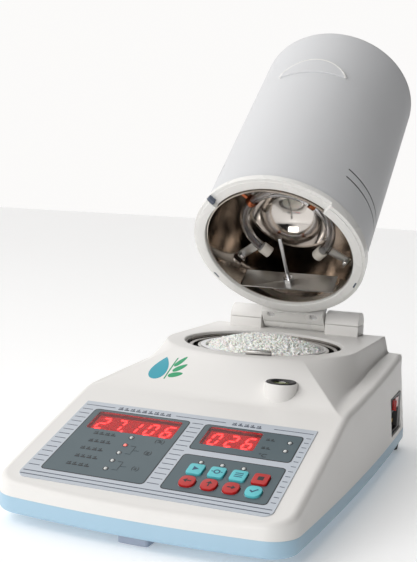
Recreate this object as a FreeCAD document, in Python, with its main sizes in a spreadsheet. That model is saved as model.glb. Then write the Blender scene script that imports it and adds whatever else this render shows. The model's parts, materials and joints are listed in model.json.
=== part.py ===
"""Grain moisture meter: a wedge-shaped bench housing with a round sample chamber, a control panel on its
sloping front, and a cylindrical halogen heating head that tilts back on a hinge behind the chamber.

Millimetres. The origin is on the bench under the middle of the sample chamber, +X to the operator's
right, +Y away from the operator, +Z up. The heating head is drawn closed and then tilted open."""

import FreeCAD
import Part
import Sketcher
import math
import os
import re
from FreeCAD import Placement, Rotation, Vector

# name, size and what it measures
SIZES = [
    ("base_width", 205, "housing width at its widest, on the seam"),
    ("base_length", 332, "housing length, from the chord of the front corners to the back"),
    ("front_bow", 7.2, "how far the front edge bows forward of its corners"),
    ("side_bow", 4.2, "how far each side bows outward"),
    ("corner_radius", 20, "front corners seen from above"),
    ("back_corner_radius", 10, "back corners seen from above"),
    ("draft_angle", 5, "inward lean of the upper walls"),
    ("floor_height", 6.9, "underside of the housing above the bench"),
    ("seam_height", 17.9, "joint between the lower and upper shells"),
    ("front_height", 27, "top of the front lip at the corners"),
    ("panel_angle", 18.16, "slope of the control panel"),
    ("panel_run", 122.4, "level distance from the front corners to the crease above the panel"),
    ("deck_height", 79.6, "side decks at the back"),
    ("rim_round", 4.5, "rounding of the upper shell's outer rim"),
    ("shell_wall", 2.5, "wall of both shells"),
    ("shell_gap", 0.2, "gap left at the seam and round inserted pieces"),
    ("chamber_setback", 231.8, "front corners to the middle of the sample chamber"),
    ("platform_height", 93.1, "flat ring round the chamber"),
    ("platform_radius", 77, "edge of that flat ring"),
    ("platform_flare", 6, "how much wider the platform is at its foot"),
    ("ramp_half_width", 91, "half the width of the ramp where it leaves the crease"),
    ("ramp_shoulder", 22, "where the ramp gives way to the platform's side walls, behind the chamber"),
    ("chamber_radius", 62.2, "mouth of the sample chamber"),
    ("bowl_depth", 27, "depth of the bowl that lines the chamber"),
    ("sheet_metal", 1, "thickness of the bowl and the draught ring"),
    ("draft_ring_radius", 57, "wall of the draught ring"),
    ("draft_ring_drop", 3.6, "top of the draught ring below the platform"),
    ("draft_ring_lip", 2.2, "width of its rolled lip"),
    ("pan_radius", 50, "rim of the sample pan"),
    ("pan_rim", 3.6, "width of the pan's flat rim"),
    ("pan_depth", 6.5, "depth of the pan"),
    ("pan_sheet", 0.7, "thickness of the pan"),
    ("pan_drop", 3, "top of the pan's rim below the platform"),
    ("carrier_sheet", 1.3, "thickness of the pan carrier"),
    ("carrier_margin", 2.2, "how far the carrier ring stands out past the pan"),
    ("tab_width", 19, "lifting tab of the pan carrier"),
    ("tab_reach", 67, "end of the tab from the middle of the chamber"),
    ("tab_angle", 15, "tab, to the right of straight ahead"),
    ("heap_height", 9.6, "top of the grain heap above the pan's rim"),
    ("spindle_radius", 4, "spindle that carries the pan"),
    ("arm_width", 8, "arms of the pan support"),
    ("cell_width", 24, "load cell, across"),
    ("cell_height", 22, "load cell, upright"),
    ("cell_length", 104, "load cell, front to back"),
    ("cell_floor", 24, "underside of the load cell above the bench"),
    ("flexure_radius", 7.5, "the two round flexure holes"),
    ("bubble_x", 45.6, "spirit level, to the right of the middle"),
    ("bubble_forward", 94.6, "spirit level, ahead of the chamber"),
    ("bubble_top", 81.2, "top of the level's boss"),
    ("boss_radius", 11.6, "boss that holds the level"),
    ("vial_radius", 6.4, "glass of the level"),
    ("vial_height", 7, "glass of the level, upright"),
    ("hinge_setback", 88.9, "hinge axis behind the chamber"),
    ("hinge_rise", 8.7, "hinge axis above the platform"),
    ("ear_inner", 28.7, "inner face of each hinge ear"),
    ("ear_width", 29.1, "hinge ear, along the axis"),
    ("ear_radius", 11, "rounded top of each ear"),
    ("pin_radius", 4, "hinge pin"),
    ("pin_clearance", 0.05, "running clearance round the hinge pin"),
    ("arm_clearance", 1.2, "gap between the hinge arm and each ear"),
    ("barrel_radius", 8.2, "barrel of the hinge arm"),
    ("arm_thickness", 10, "plate of the hinge arm"),
    ("open_angle", 49.2, "how far the head tilts back"),
    ("head_gap", 1, "platform to the face of the closed head"),
    ("head_radius", 70, "outside of the head"),
    ("head_length", 219.5, "face to top of the head"),
    ("head_round", 7, "rounding of the head's top edge"),
    ("head_wall", 3, "wall of the head's cover"),
    ("ring_inner", 62.2, "mouth of the white face ring"),
    ("ring_outer", 72.3, "outside of the face ring"),
    ("ring_height", 10, "face ring, along the head's axis"),
    ("ring_step", 2.7, "grey step outside the ring's face"),
    ("handle_notch", 4.9, "cut in the ring that clears the lifting tab"),
    ("liner_radius", 61.6, "polished liner inside the head"),
    ("liner_sheet", 0.8, "thickness of the liner and reflector"),
    ("liner_length", 75, "liner, along the head's axis"),
    ("dome_rim", 36.5, "radius of the reflector bowl's rim"),
    ("dome_rise", 25, "depth of the reflector bowl"),
    ("dome_setback", 47, "rim of the reflector bowl above the head's face"),
    ("dome_post", 6, "radius of the post that hangs the bowl"),
    ("jacket_thickness", 4, "insulation round the liner"),
    ("lamp_radius", 37, "ring lamp, to the middle of its tube"),
    ("lamp_tube", 4, "radius of the lamp's glass tube"),
    ("lamp_depth", 31, "lamp above the ring's face"),
    ("lamp_gap_angle", 94, "gap in the lamp, on the hinge side"),
    ("probe_depth", 10, "temperature probe above the ring's face"),
    ("probe_radius", 1.6, "temperature probe"),
    ("probe_length", 49, "temperature probe"),
    ("plate_setback", 43, "probe plate behind the middle"),
    ("plate_height", 19, "probe plate, along the head's axis"),
    ("grip_angle", 50, "crescent-shaped finger grip, round the head"),
    ("grip_height", 152.5, "lower edge of the finger grip above the ring's face"),
    ("grip_rise", 17, "height of the grip's crescent"),
    ("grip_stand", 3, "how far the finger grip stands out"),
    ("vent_height", 43, "lower vent slot above the ring's face"),
    ("vent_pitch", 9, "between the two vent slots"),
    ("vent_slot", 1.6, "width of a vent slot"),
    ("vent_angle", 52, "length of a vent slot, round the head"),
    ("vent_end", 41, "front end of a vent slot, forward of straight sideways"),
    ("overlay_width", 168, "printed panel"),
    ("overlay_length", 97, "printed panel, up the slope"),
    ("overlay_start", 6.5, "bottom of the printed panel up the slope"),
    ("overlay_radius", 6, "bottom corners of the printed panel"),
    ("overlay_sheet", 0.6, "thickness of the printed panel"),
    ("window_sheet", 2, "thickness of the display windows"),
    ("main_window_x", -36.8, "middle of the main display"),
    ("main_window_width", 62.4, "main display window"),
    ("window_height", 22, "both display windows, up the slope"),
    ("window_rise", 80.7, "middle of both display windows up the slope"),
    ("small_window_x", 32.6, "middle of the temperature display"),
    ("small_window_width", 36.8, "temperature display window"),
    ("key_first_x", 24.3, "first key column"),
    ("key_pitch", 14.1, "between key columns"),
    ("key_width", 10.2, "keys, across"),
    ("key_length", 10.8, "keys, up the slope"),
    ("key_row", 26.7, "lower key row up the slope"),
    ("key_row_pitch", 13.4, "between the key rows"),
    ("key_gap", 0.35, "gap round each key"),
    ("key_stand", 1.5, "how far a key stands above the printed panel"),
    ("key_flange", 0.9, "retaining flange round each key"),
    ("key_travel", 0.7, "how far a key is pressed"),
    ("led_radius", 1.3, "indicator lamps"),
    ("led_gap", 0.15, "gap round each indicator lamp"),
    ("led_stand", 0.3, "indicator lamps above the printed panel"),
    ("list_lamp_x", -31.4, "column of five indicator lamps"),
    ("list_lamp_row", 27.3, "lowest of those lamps up the slope"),
    ("list_lamp_pitch", 9.4, "between those lamps"),
    ("heat_lamp_x", 71, "pair of indicator lamps by the temperature display"),
    ("heat_lamp_row", 74.7, "lower of that pair up the slope"),
    ("heat_lamp_pitch", 9.9, "between that pair"),
    ("key_lamp_rise", 9, "key indicator lamps above the middle of the upper keys"),
    ("board_drop", 14, "display board below the panel"),
    ("board_sheet", 1.6, "thickness of both circuit boards"),
    ("spacer_height", 6, "posts under the main board"),
    ("inlet_back", 54.5, "middle of the power inlet behind the chamber"),
    ("inlet_height", 37, "middle of the power inlet above the bench"),
    ("inlet_length", 44, "power inlet, front to back"),
    ("inlet_tall", 30, "power inlet, upright"),
    ("inlet_face", 97.6, "front face of the power inlet from the middle"),
    ("socket_length", 24.4, "mains socket, front to back"),
    ("socket_tall", 15.8, "mains socket, upright"),
    ("socket_depth", 15, "depth of the mains socket"),
    ("rocker_length", 20.8, "power rocker, front to back"),
    ("rocker_tall", 8.4, "power rocker, upright"),
    ("rocker_gap", 0.5, "gap round the power rocker"),
    ("rocker_lean", 7, "how far the rocker leans each way"),
    ("foot_radius", 10, "levelling feet"),
    ("foot_x", 87, "levelling feet from the middle"),
    ("foot_back", 84, "levelling feet behind the chamber"),
    ("foot_clearance", 0.6, "levelling feet to the lower shell"),
    ("stud_radius", 3, "threaded stud of a levelling foot"),
    ("stud_clearance", 0.08, "running clearance round the stud"),
    ("front_foot_width", 20, "front foot"),
    ("front_foot_length", 12, "front foot, front to back"),
    ("screw_radius", 1.8, "case screws"),
    ("screw_rise", 8, "case screws above the seam"),
    ("post_radius", 4.6, "screw posts"),
    ("front_post_x", 82.5, "front screw posts from the middle"),
    ("rear_post_x", 86.5, "rear screw posts from the middle"),
    ("front_post_inset", 26, "front screw posts behind the front corners"),
    ("left_post_inset", 52, "left rear screw post ahead of the back"),
    ("right_post_inset", 92, "right rear screw post ahead of the back, clear of the power inlet"),
    ("board_front", 34, "main board behind the front corners"),
    ("board_length", 78, "main board, front to back"),
    ("board_left", 74, "main board, left edge from the middle"),
    ("board_right", 50, "main board, right edge from the middle"),
    ("board_screw_inset", 4, "main board's screws from its edges"),
    ("board_screw_radius", 1.5, "main board's screws"),
    ("board_post_radius", 3.4, "posts under the main board"),
    ("core_x", 30, "transformer, left edge from the middle"),
    ("core_width", 54, "transformer, across"),
    ("core_length", 40, "transformer, front to back"),
    ("core_tall", 44, "transformer, upright"),
    ("core_start", 22, "transformer behind the crease above the panel"),
    ("coil_width", 12, "transformer winding, across"),
    ("coil_low", 9, "transformer winding above the floor"),
    ("coil_tall", 26, "transformer winding, upright"),
    ("coil_out", 4, "how far the windings stand out of the core"),
    ("cell_screw_radius", 2.2, "load cell's mounting screws"),
    ("cell_head_radius", 4, "heads of those screws"),
    ("cell_head_tall", 4, "height of those heads"),
    ("cell_forward", 12, "load cell, front end ahead of the chamber's middle"),
    ("flexure_pitch", 24, "between the two flexure holes"),
    ("flexure_slit", 4, "slit that joins the flexure holes"),
    ("switch_width", 6, "key switches"),
    ("switch_tall", 3.5, "key switches above their board"),
    ("switch_button_radius", 1.7, "buttons of the key switches"),
    ("flange_sheet", 0.8, "thickness of a key's flange"),
    ("stem_radius", 1.8, "stem under each key"),
    ("stem_length", 2.4, "stem under each key, below its flange's top"),
    ("blade_width", 2, "blades of the mains socket"),
    ("blade_tall", 4, "blades of the mains socket, upright"),
    ("blade_pitch", 7, "between the blades"),
    ("earth_rise", 3.5, "middle blade above the other two"),
    ("well_depth", 8, "well round the power rocker"),
    ("pivot_depth", 4.5, "rocker's pivot behind the inlet's face"),
    ("pivot_radius", 2.5, "rocker's round back, on its pivot"),
    ("rocker_face", 6.2, "ends of the rocker ahead of its pivot"),
    ("rocker_valley", 4.4, "middle of the rocker ahead of its pivot"),
    ("port_left", 62, "data port opening, left edge from the middle"),
    ("port_width", 32, "data port opening, across"),
    ("port_low", 32, "data port opening above the bench"),
    ("port_tall", 14, "data port opening, upright"),
    ("port_plate_depth", 7.5, "data port's flange plate ahead of the back"),
    ("plug_width", 17, "data port's collar, across"),
    ("plug_tall", 8.4, "data port's collar, upright"),
    ("plug_wall", 0.5, "wall of the data port's collar"),
    ("port_screw_pitch", 25, "between the data port's hexagon nuts"),
    ("port_nut", 5, "data port's hexagon nuts"),
    ("arm_screw_x", 19, "hinge arm's screws from the middle"),
    ("arm_screw_gap", 3.9, "hinge arm's screws behind the face ring"),
    ("arm_screw_head", 3.2, "heads of the hinge arm's screws"),
    ("arm_head_drop", 1.4, "those heads below the arm's face"),
    ("arm_head_tall", 2.2, "height of those heads"),
    ("lug_height", 14, "head cover's lug over the hinge arm"),
    ("strip_width", 8, "lamp support strips"),
    ("strip_sheet", 1.2, "thickness of those strips"),
    ("strip_turn", 6, "lamp supports, round the head from the lamp's ends"),
    ("support_screw_radius", 2.6, "screws of the lamp supports"),
    ("support_screw_tall", 2, "heads of those screws"),
    ("cap_length", 9, "ceramic caps of the lamp"),
    ("clip_width", 5, "clips that hold the lamp"),
    ("clip_sheet", 0.95, "thickness of those clips"),
    ("clip_gap", 0.15, "gap between a clip and the lamp"),
    ("stalk_width", 3, "stalk of each clip"),
    ("stalk_sheet", 1, "thickness of each stalk"),
    ("wall_clearance", 0.25, "gap between the lamp's supports and the liner"),
    ("fold_depth", 8, "probe plate's folded top edge"),
    ("nut_width", 8, "nuts of the temperature probe"),
    ("nut_length", 4, "length of those nuts"),
    ("probe_tail", 12, "probe behind the plate's front"),
    ("ear_gap", 0.3, "gap between fixed pieces of the head"),
]

doc = FreeCAD.newDocument("grain_moisture_meter")
sheet = doc.addObject("Spreadsheet::Sheet", "Sizes")
for row, (alias, size, meaning) in enumerate(SIZES, start=1):
    sheet.set(f"A{row}", alias)
    sheet.set(f"B{row}", str(size))
    sheet.set(f"C{row}", meaning)
    sheet.setAlias(f"B{row}", alias)
doc.recompute()

ALIASES = re.compile(r"\b(" + "|".join(alias for alias, size, meaning in SIZES) + r")\b")
TURN_TO = {
    "Z": Rotation(),
    "X": Rotation(Vector(0, 1, 0), 90),
    "Y": Rotation(Vector(1, 0, 0), -90),
}
ORIGIN = (-1, 1)
VERTICAL_AXIS = -2
START = 1
END = 2
nodes = []


def link(text):
    """An expression with each size's name written as a cell of the sheet."""
    return ALIASES.sub(r"Sizes.\1", str(text))


def value(text):
    return float(sheet.evalExpression(link(text)))


def bind(item, **expressions):
    for prop, text in expressions.items():
        item.setExpression(prop, link(text))


def place(item, x, y, z, rotation=None):
    if rotation is not None:
        item.Placement = Placement(Vector(), rotation)
    for axis, text in zip("xyz", (x, y, z)):
        item.setExpression(f"Placement.Base.{axis}", link(text))
    return item


def block(x, y, z):
    """A box between the low and high sizes given along each axis."""
    item = doc.addObject("Part::Box", "Block")
    bind(item, Length=f"({x[1]}) - ({x[0]})", Width=f"({y[1]}) - ({y[0]})", Height=f"({z[1]}) - ({z[0]})")
    return place(item, x[0], y[0], z[0])


def rod(radius, length, at, axis="Z"):
    """A cylinder that starts at a point and runs along an axis."""
    item = doc.addObject("Part::Cylinder", "Rod")
    bind(item, Radius=radius, Height=length)
    return place(item, *at, rotation=TURN_TO[axis])


def wedge_of_rod(radius, length, at, start, sweep):
    """An upright cylinder's sector, from a start angle over a sweep."""
    item = rod(radius, length, at)
    item.Placement = Placement(item.Placement.Base, Rotation(Vector(0, 0, 1), value(start)))
    bind(item, Angle=sweep)
    return place(item, *at)


def cone(low_radius, high_radius, length, at):
    item = doc.addObject("Part::Cone", "Cone")
    bind(item, Radius1=low_radius, Radius2=high_radius, Height=length)
    return place(item, *at)


def ball(radius, at):
    item = doc.addObject("Part::Sphere", "Ball")
    bind(item, Radius=radius)
    return place(item, *at)


def hexagon(width, length, at, axis="Z"):
    item = doc.addObject("Part::Prism", "Hexagon")
    item.Polygon = 6
    bind(item, Circumradius=f"({width}) / sqrt(3)", Height=length)
    return place(item, *at, rotation=TURN_TO[axis])


def join(*items):
    result = doc.addObject("Part::MultiFuse", "Join")
    result.Shapes = list(items)
    return result


def overlap(*items):
    result = doc.addObject("Part::MultiCommon", "Overlap")
    result.Shapes = list(items)
    return result


def cut(item, *tools):
    result = doc.addObject("Part::Cut", "Cut")
    result.Base = item
    result.Tool = tools[0] if len(tools) == 1 else join(*tools)
    return result


def group(*items):
    """Several solids of one kind that share a node."""
    result = doc.addObject("Part::Compound", "Group")
    result.Links = list(items)
    return result


def turned(item, angle, axis=Vector(0, 0, 1)):
    """The same piece turned about an axis through the chamber's middle."""
    result = group(item)
    result.Placement = Placement(Vector(), Rotation(axis, angle))
    return result


def rounded(item, radius, chosen):
    """The item with its chosen edges rounded."""
    doc.recompute()
    result = doc.addObject("Part::Fillet", "Rounded")
    result.Base = item
    size = value(radius)
    edges = enumerate(item.Shape.Edges, start=1)
    result.Edges = [(index, size, size) for index, edge in edges if chosen(edge)]
    return result


def upright(edge):
    return abs(edge.tangentAt(edge.FirstParameter).z) > 0.9 and edge.Curve.TypeId == "Part::GeomLine"


def add_sketch(body, plane, outline):
    """A closed outline of straight lines whose corners are sizes in the sheet."""
    sketch = body.newObject("Sketcher::SketchObject", "Outline")
    support = next(item for item in body.Origin.OriginFeatures if item.Role == plane)
    sketch.AttachmentSupport = [(support, "")]
    sketch.MapMode = "FlatFace"
    corners = [Vector(value(a), value(b), 0) for a, b in outline]
    for index, corner in enumerate(corners):
        sketch.addGeometry(Part.LineSegment(corner, corners[(index + 1) % len(corners)]))
    for index, (a, b) in enumerate(outline):
        following = (index + 1) % len(outline)
        sketch.addConstraint(Sketcher.Constraint("Coincident", index, END, following, START))
        if str(a) == "0":
            sketch.addConstraint(Sketcher.Constraint("PointOnObject", index, START, VERTICAL_AXIS))
        else:
            across = Sketcher.Constraint("DistanceX", *ORIGIN, index, START, corners[index].x)
            number = sketch.addConstraint(across)
            sketch.setExpression(f"Constraints[{number}]", link(a))
        along = Sketcher.Constraint("DistanceY", *ORIGIN, index, START, corners[index].y)
        number = sketch.addConstraint(along)
        sketch.setExpression(f"Constraints[{number}]", link(b))
    return sketch


def lathe(outline):
    """A body turned about the upright axis from a half outline of (radius, height) corners."""
    body = doc.addObject("PartDesign::Body", "Lathe")
    sketch = add_sketch(body, "XZ_Plane", outline)
    revolution = body.newObject("PartDesign::Revolution", "Revolution")
    revolution.Profile = sketch
    revolution.ReferenceAxis = (sketch, ["V_Axis"])
    revolution.Angle = 360
    return body


def plate(outline, low, high):
    """A body padded upward from a flat outline of (x, y) corners."""
    body = doc.addObject("PartDesign::Body", "Plate")
    sketch = add_sketch(body, "XY_Plane", outline)
    pad = body.newObject("PartDesign::Pad", "Pad")
    pad.Profile = sketch
    bind(pad, Length=f"({high}) - ({low})")
    place(body, 0, 0, low)
    return body


def node(label, item, pose=None):
    """Gives a finished piece its name and, where it has one, its pose."""
    if pose is not None:
        item = group(item)
        item.Placement = pose
    item.Label = label
    nodes.append(item)
    return item


# Places that several pieces share, as expressions in the sheet's sizes.
FRONT = "(-chamber_setback)"
BACK = "(base_length - chamber_setback)"
CREASE_Y = "(panel_run - chamber_setback)"
CREASE_Z = "(front_height + panel_run * tan(panel_angle))"
FLOOR_TOP = "(floor_height + shell_wall)"
FACE = "(platform_height + head_gap)"
HINGE_Z = "(platform_height + hinge_rise)"
HINGE_TOP_Z = "(platform_height + hinge_rise + ear_radius)"
PAN_TOP = "(platform_height - pan_drop)"
PAN_BOTTOM = "(platform_height - pan_drop - pan_depth)"
PAN_WALL = "(pan_radius - pan_rim)"
BOWL_FLOOR = "(platform_height - bowl_depth)"
CARRIER_TOP = "(platform_height - pan_drop - pan_sheet)"
CARRIER_RADIUS = "(pan_radius + carrier_margin)"
RING_TOP = "(platform_height + head_gap + ring_height)"
LAMP_Z = "(platform_height + head_gap + lamp_depth)"
PROBE_Z = "(platform_height + head_gap + probe_depth)"
LINER_TOP = "(platform_height + head_gap + liner_length)"
BOARD_TOP = "(-board_drop + board_sheet)"
BUBBLE_Y = "(-bubble_forward)"
MAIN_BOARD_TOP = "(floor_height + shell_wall + spacer_height + board_sheet)"
BOARD_X = ("-board_left", "board_right")
BOARD_Y = (f"{FRONT} + board_front", f"{FRONT} + board_front + board_length")
BOARD_CORNERS = [
    (x, y)
    for x in ("-board_left + board_screw_inset", "board_right - board_screw_inset")
    for y in (f"{BOARD_Y[0]} + board_screw_inset", f"{BOARD_Y[1]} - board_screw_inset")
]

POSTS = [
    ("-front_post_x", f"{FRONT} + front_post_inset"),
    ("front_post_x", f"{FRONT} + front_post_inset"),
    ("-rear_post_x", f"{BACK} - left_post_inset"),
    ("rear_post_x", f"{BACK} - right_post_inset"),
]
PORT_X = ("-port_left", "-port_left + port_width")
PORT_Z = ("port_low", "port_low + port_tall")
INLET_Y = ("inlet_back - inlet_length / 2", "inlet_back + inlet_length / 2")
INLET_Z = ("inlet_height - inlet_tall / 2", "inlet_height + inlet_tall / 2")

hinge_axis = Vector(0, value("hinge_setback"), value(HINGE_Z))
tilt = Rotation(Vector(1, 0, 0), -value("open_angle"))
HEAD = Placement(Vector(), tilt, hinge_axis)
panel_foot = Vector(0, value(FRONT), value("front_height"))
PANEL = Placement(panel_foot, Rotation(Vector(1, 0, 0), value("panel_angle")))

KEYS = {
    "start_key": (0, 1),
    "tare_key": (1, 1),
    "display_key": (2, 1),
    "stop_key": (3, 1),
    "left_key": (0, 0),
    "up_key": (1, 0),
    "right_key": (2, 0),
    "enter_key": (3, 0),
}
ROUND_KEYS = ("left_key", "up_key", "right_key", "enter_key")


def key_centre(column, line):
    return f"key_first_x + {column} * key_pitch", f"key_row + {line} * key_row_pitch"


# Indicator lamps: five beside the main display's list, two beside the temperature, three over the keys.
LIST_LAMPS = [("list_lamp_x", f"list_lamp_row + {line} * list_lamp_pitch") for line in range(5)]
HEAT_LAMPS = [("heat_lamp_x", f"heat_lamp_row + {line} * heat_lamp_pitch") for line in range(2)]
KEY_LAMPS = [(key_centre(column, 1)[0], "key_row + key_row_pitch + key_lamp_rise") for column in range(3)]
LAMPS = LIST_LAMPS + HEAT_LAMPS + KEY_LAMPS


# ---- housing ----------------------------------------------------------------------------------------

def plan_wire(height, inset, drift):
    """The housing seen from above: shallow arcs at the front and sides, with sharp corners."""
    side = value("base_width / 2 - side_bow") - inset - drift
    bow = value("side_bow")
    front = value(FRONT) + inset + drift
    back = value(BACK) - inset
    middle = (front + back) / 2
    nose = front - value("front_bow")
    corners = [Vector(-side, front, height), Vector(side, front, height)]
    corners += [Vector(side, back, height), Vector(-side, back, height)]
    edges = [
        Part.Arc(corners[0], Vector(0, nose, height), corners[1]).toShape(),
        Part.Arc(corners[1], Vector(side + bow, middle, height), corners[2]).toShape(),
        Part.makeLine(corners[2], corners[3]),
        Part.Arc(corners[3], Vector(-side - bow, middle, height), corners[0]).toShape(),
    ]
    return Part.Wire(edges)


def plan_block(low, high, inset, lean):
    """The housing's plan raised between two heights, its front and sides leaning inward by an angle."""
    drift = (high - low) * value(f"tan({lean})")
    solid = Part.makeLoft([plan_wire(low, inset, 0), plan_wire(high, inset, drift)], True, True)
    middle = value(f"({FRONT} + {BACK}) / 2")
    for side, name in ((-1, "corner_radius"), (1, "back_corner_radius")):
        radius = max(value(name) - inset, 1)
        corners = [e for e in solid.Edges if rising(e) and side * (e.CenterOfMass.y - middle) > 0]
        solid = solid.makeFillet(radius, corners)
    return solid


def rising(edge):
    ends = edge.Vertexes
    rise = ends[-1].Point - ends[0].Point
    return abs(rise.z) > 0.7 * edge.Length


def deck_prism(inset):
    """Everything under the panel's slope and the side decks, endless to the sides."""
    reach = value("base_width")
    slope = value("tan(panel_angle)")
    front = value(FRONT) - 3 * value("front_bow") - 5
    back = value(BACK) + 5
    low = value("floor_height") - 5
    drop = inset / value("cos(panel_angle)")
    crease = value(CREASE_Z) - drop
    points = [
        Vector(-reach, front, low),
        Vector(-reach, front, crease - (value(CREASE_Y) - front) * slope),
        Vector(-reach, value(CREASE_Y), crease),
        Vector(-reach, back, value("deck_height") - drop),
        Vector(-reach, back, low),
    ]
    return Part.Face(Part.makePolygon(points + points[:1])).extrude(Vector(2 * reach, 0, 0))


def ramp(inset):
    """The raised platform round the chamber, and the ramp that fans down from it to the crease."""
    radius = value("platform_radius") - inset
    top = value("platform_height") - inset
    foot = value(CREASE_Z) - 0.5 - inset
    wide = value("ramp_half_width") - inset
    flare = radius + value("platform_flare")
    front = value(CREASE_Y) - 0.6 + inset
    shoulder = value("ramp_shoulder")
    back = value(BACK) - inset
    diagonal = radius / math.sqrt(2)

    def on_rim(x, y):
        return Vector(x, y, top)

    corners = [on_rim(-diagonal, -diagonal), on_rim(diagonal, -diagonal), on_rim(radius, 0)]
    corners += [on_rim(radius, back), on_rim(-radius, back), on_rim(-radius, 0)]
    bends = [on_rim(0, -radius)]
    for angle in (-22.5, 202.5):
        turn = math.radians(angle)
        bends.append(on_rim(radius * math.cos(turn), radius * math.sin(turn)))
    rim = Part.Wire([
        Part.Arc(corners[0], bends[0], corners[1]).toShape(),
        Part.Arc(corners[1], bends[1], corners[2]).toShape(),
        Part.makeLine(corners[2], corners[3]),
        Part.makeLine(corners[3], corners[4]),
        Part.makeLine(corners[4], corners[5]),
        Part.Arc(corners[5], bends[2], corners[0]).toShape(),
    ])
    plan = [(-wide, front), (wide, front), (flare, shoulder), (flare, back), (-flare, back), (-flare, shoulder)]
    points = [Vector(x, y, foot) for x, y in plan]
    return Part.makeLoft([Part.makePolygon(points + points[:1]), rim], True, True)


def upper_block(inset, rim_radius=0):
    """The closed outer form of the upper shell, shrunk by an inset, its outer rim rounded or sharp."""
    seam = value("seam_height")
    walls = plan_block(seam, value("platform_height") + 10, inset, "draft_angle")
    deck = walls.common(deck_prism(inset))
    if rim_radius:
        brim = [edge for edge in deck.Edges if on_brim(edge)]
        deck = deck.makeFillet(rim_radius, brim)
    return deck.fuse(ramp(inset))


def on_brim(edge):
    """Whether an edge lies where the walls meet the panel or the decks, away from the back."""
    middle = edge.CenterOfMass
    above = edge.BoundBox.ZMin > value("seam_height") + 1
    crease = abs(middle.y - value(CREASE_Y)) < 1 and edge.BoundBox.YLength < 1
    return above and not crease and not rising(edge) and middle.y < value(BACK) - 3


def solid_box(x, y, z):
    low = Vector(value(x[0]), value(y[0]), value(z[0]))
    high = Vector(value(x[1]), value(y[1]), value(z[1]))
    size = high - low
    return Part.makeBox(size.x, size.y, size.z, low)


def on_panel(shape):
    return shape.transformed(PANEL.Matrix)


def panel_openings(grow):
    """Holes through the panel for the windows, keys and lamps."""
    depth = ("-shell_wall * 3", "overlay_sheet * 4")
    tall = (f"window_rise - window_height / 2 - {grow}", f"window_rise + window_height / 2 + {grow}")
    holes = []
    for name in ("main_window", "small_window"):
        across = (f"{name}_x - {name}_width / 2 - {grow}", f"{name}_x + {name}_width / 2 + {grow}")
        holes.append(solid_box(across, tall, depth))
    for column, line in KEYS.values():
        x, y = key_centre(column, line)
        across = (f"{x} - key_width / 2 - key_gap", f"{x} + key_width / 2 + key_gap")
        along = (f"{y} - key_length / 2 - key_gap", f"{y} + key_length / 2 + key_gap")
        holes.append(solid_box(across, along, depth))
    length = value("shell_wall * 3 + overlay_sheet * 4")
    for x, y in LAMPS:
        foot = Vector(value(x), value(y), value(depth[0]))
        holes.append(Part.makeCylinder(value("led_radius + led_gap"), length, foot))
    return holes


def make_upper_shell():
    seam = value("seam_height")
    outside = upper_block(0, value("rim_round"))
    inside = upper_block(value("shell_wall"))
    below = plan_block(seam - 5, seam + 0.01, value("shell_wall"), "0")
    shell = outside.cut(inside).cut(below)
    boss_low = value("bubble_top - 16")
    boss_place = Vector(value("bubble_x"), value(BUBBLE_Y), boss_low)
    boss = Part.makeCylinder(value("boss_radius"), value("bubble_top") - boss_low, boss_place)
    posts = []
    for x, y in POSTS:
        foot = Vector(value(x), value(y), seam + value("shell_gap"))
        posts.append(Part.makeCylinder(value("post_radius"), value("platform_height") - foot.z, foot))
    posts = [post.common(upper_block(value("shell_wall") / 2)) for post in posts]
    ears = []
    for side in (-1, 1):
        middle = f"{side} * (ear_inner + ear_width / 2)"
        across = (f"{middle} - ear_width / 2", f"{middle} + ear_width / 2")
        along = ("hinge_setback - ear_radius", "hinge_setback + ear_radius")
        ears.append(solid_box(across, along, ("platform_height - shell_wall", HINGE_Z)))
    shell = shell.multiFuse([boss] + posts + ears)
    chamber = Part.makeCylinder(value("chamber_radius"), 60, Vector(0, 0, value(BOWL_FLOOR)))
    vial_foot = boss_place + Vector(0, 0, 16 - value("vial_height + 1"))
    vial = Part.makeCylinder(value("vial_radius + 2"), 20, vial_foot)
    bezel_seat = Part.makeCylinder(value("boss_radius - 0.8"), 12, boss_place + Vector(0, 0, 16))
    reach = value("2 * (ear_inner + ear_width)")
    pin = Part.makeCylinder(value("pin_radius"), reach, hinge_axis - Vector(reach / 2, 0, 0), Vector(1, 0, 0))
    side_hole = solid_box(
        ("base_width / 2 - 16", "base_width / 2 + 5"),
        (f"{INLET_Y[0]} - shell_gap * 1.5", f"{INLET_Y[1]} + shell_gap * 1.5"),
        (f"{INLET_Z[0]} - shell_gap * 1.5", f"{INLET_Z[1]} + shell_gap * 1.5"),
    )
    back_hole = solid_box(PORT_X, (f"{BACK} - 12", f"{BACK} + 5"), PORT_Z)
    holes = [on_panel(hole) for hole in panel_openings("shell_gap")]
    screws = []
    for x, y in POSTS:
        foot = Vector(value(x), value(y), seam - 5)
        screws.append(Part.makeCylinder(value("screw_radius"), value("screw_rise + 9"), foot))
    return shell.cut(Part.makeCompound([chamber, vial, bezel_seat, pin, side_hole, back_hole] + holes + screws))


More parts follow.
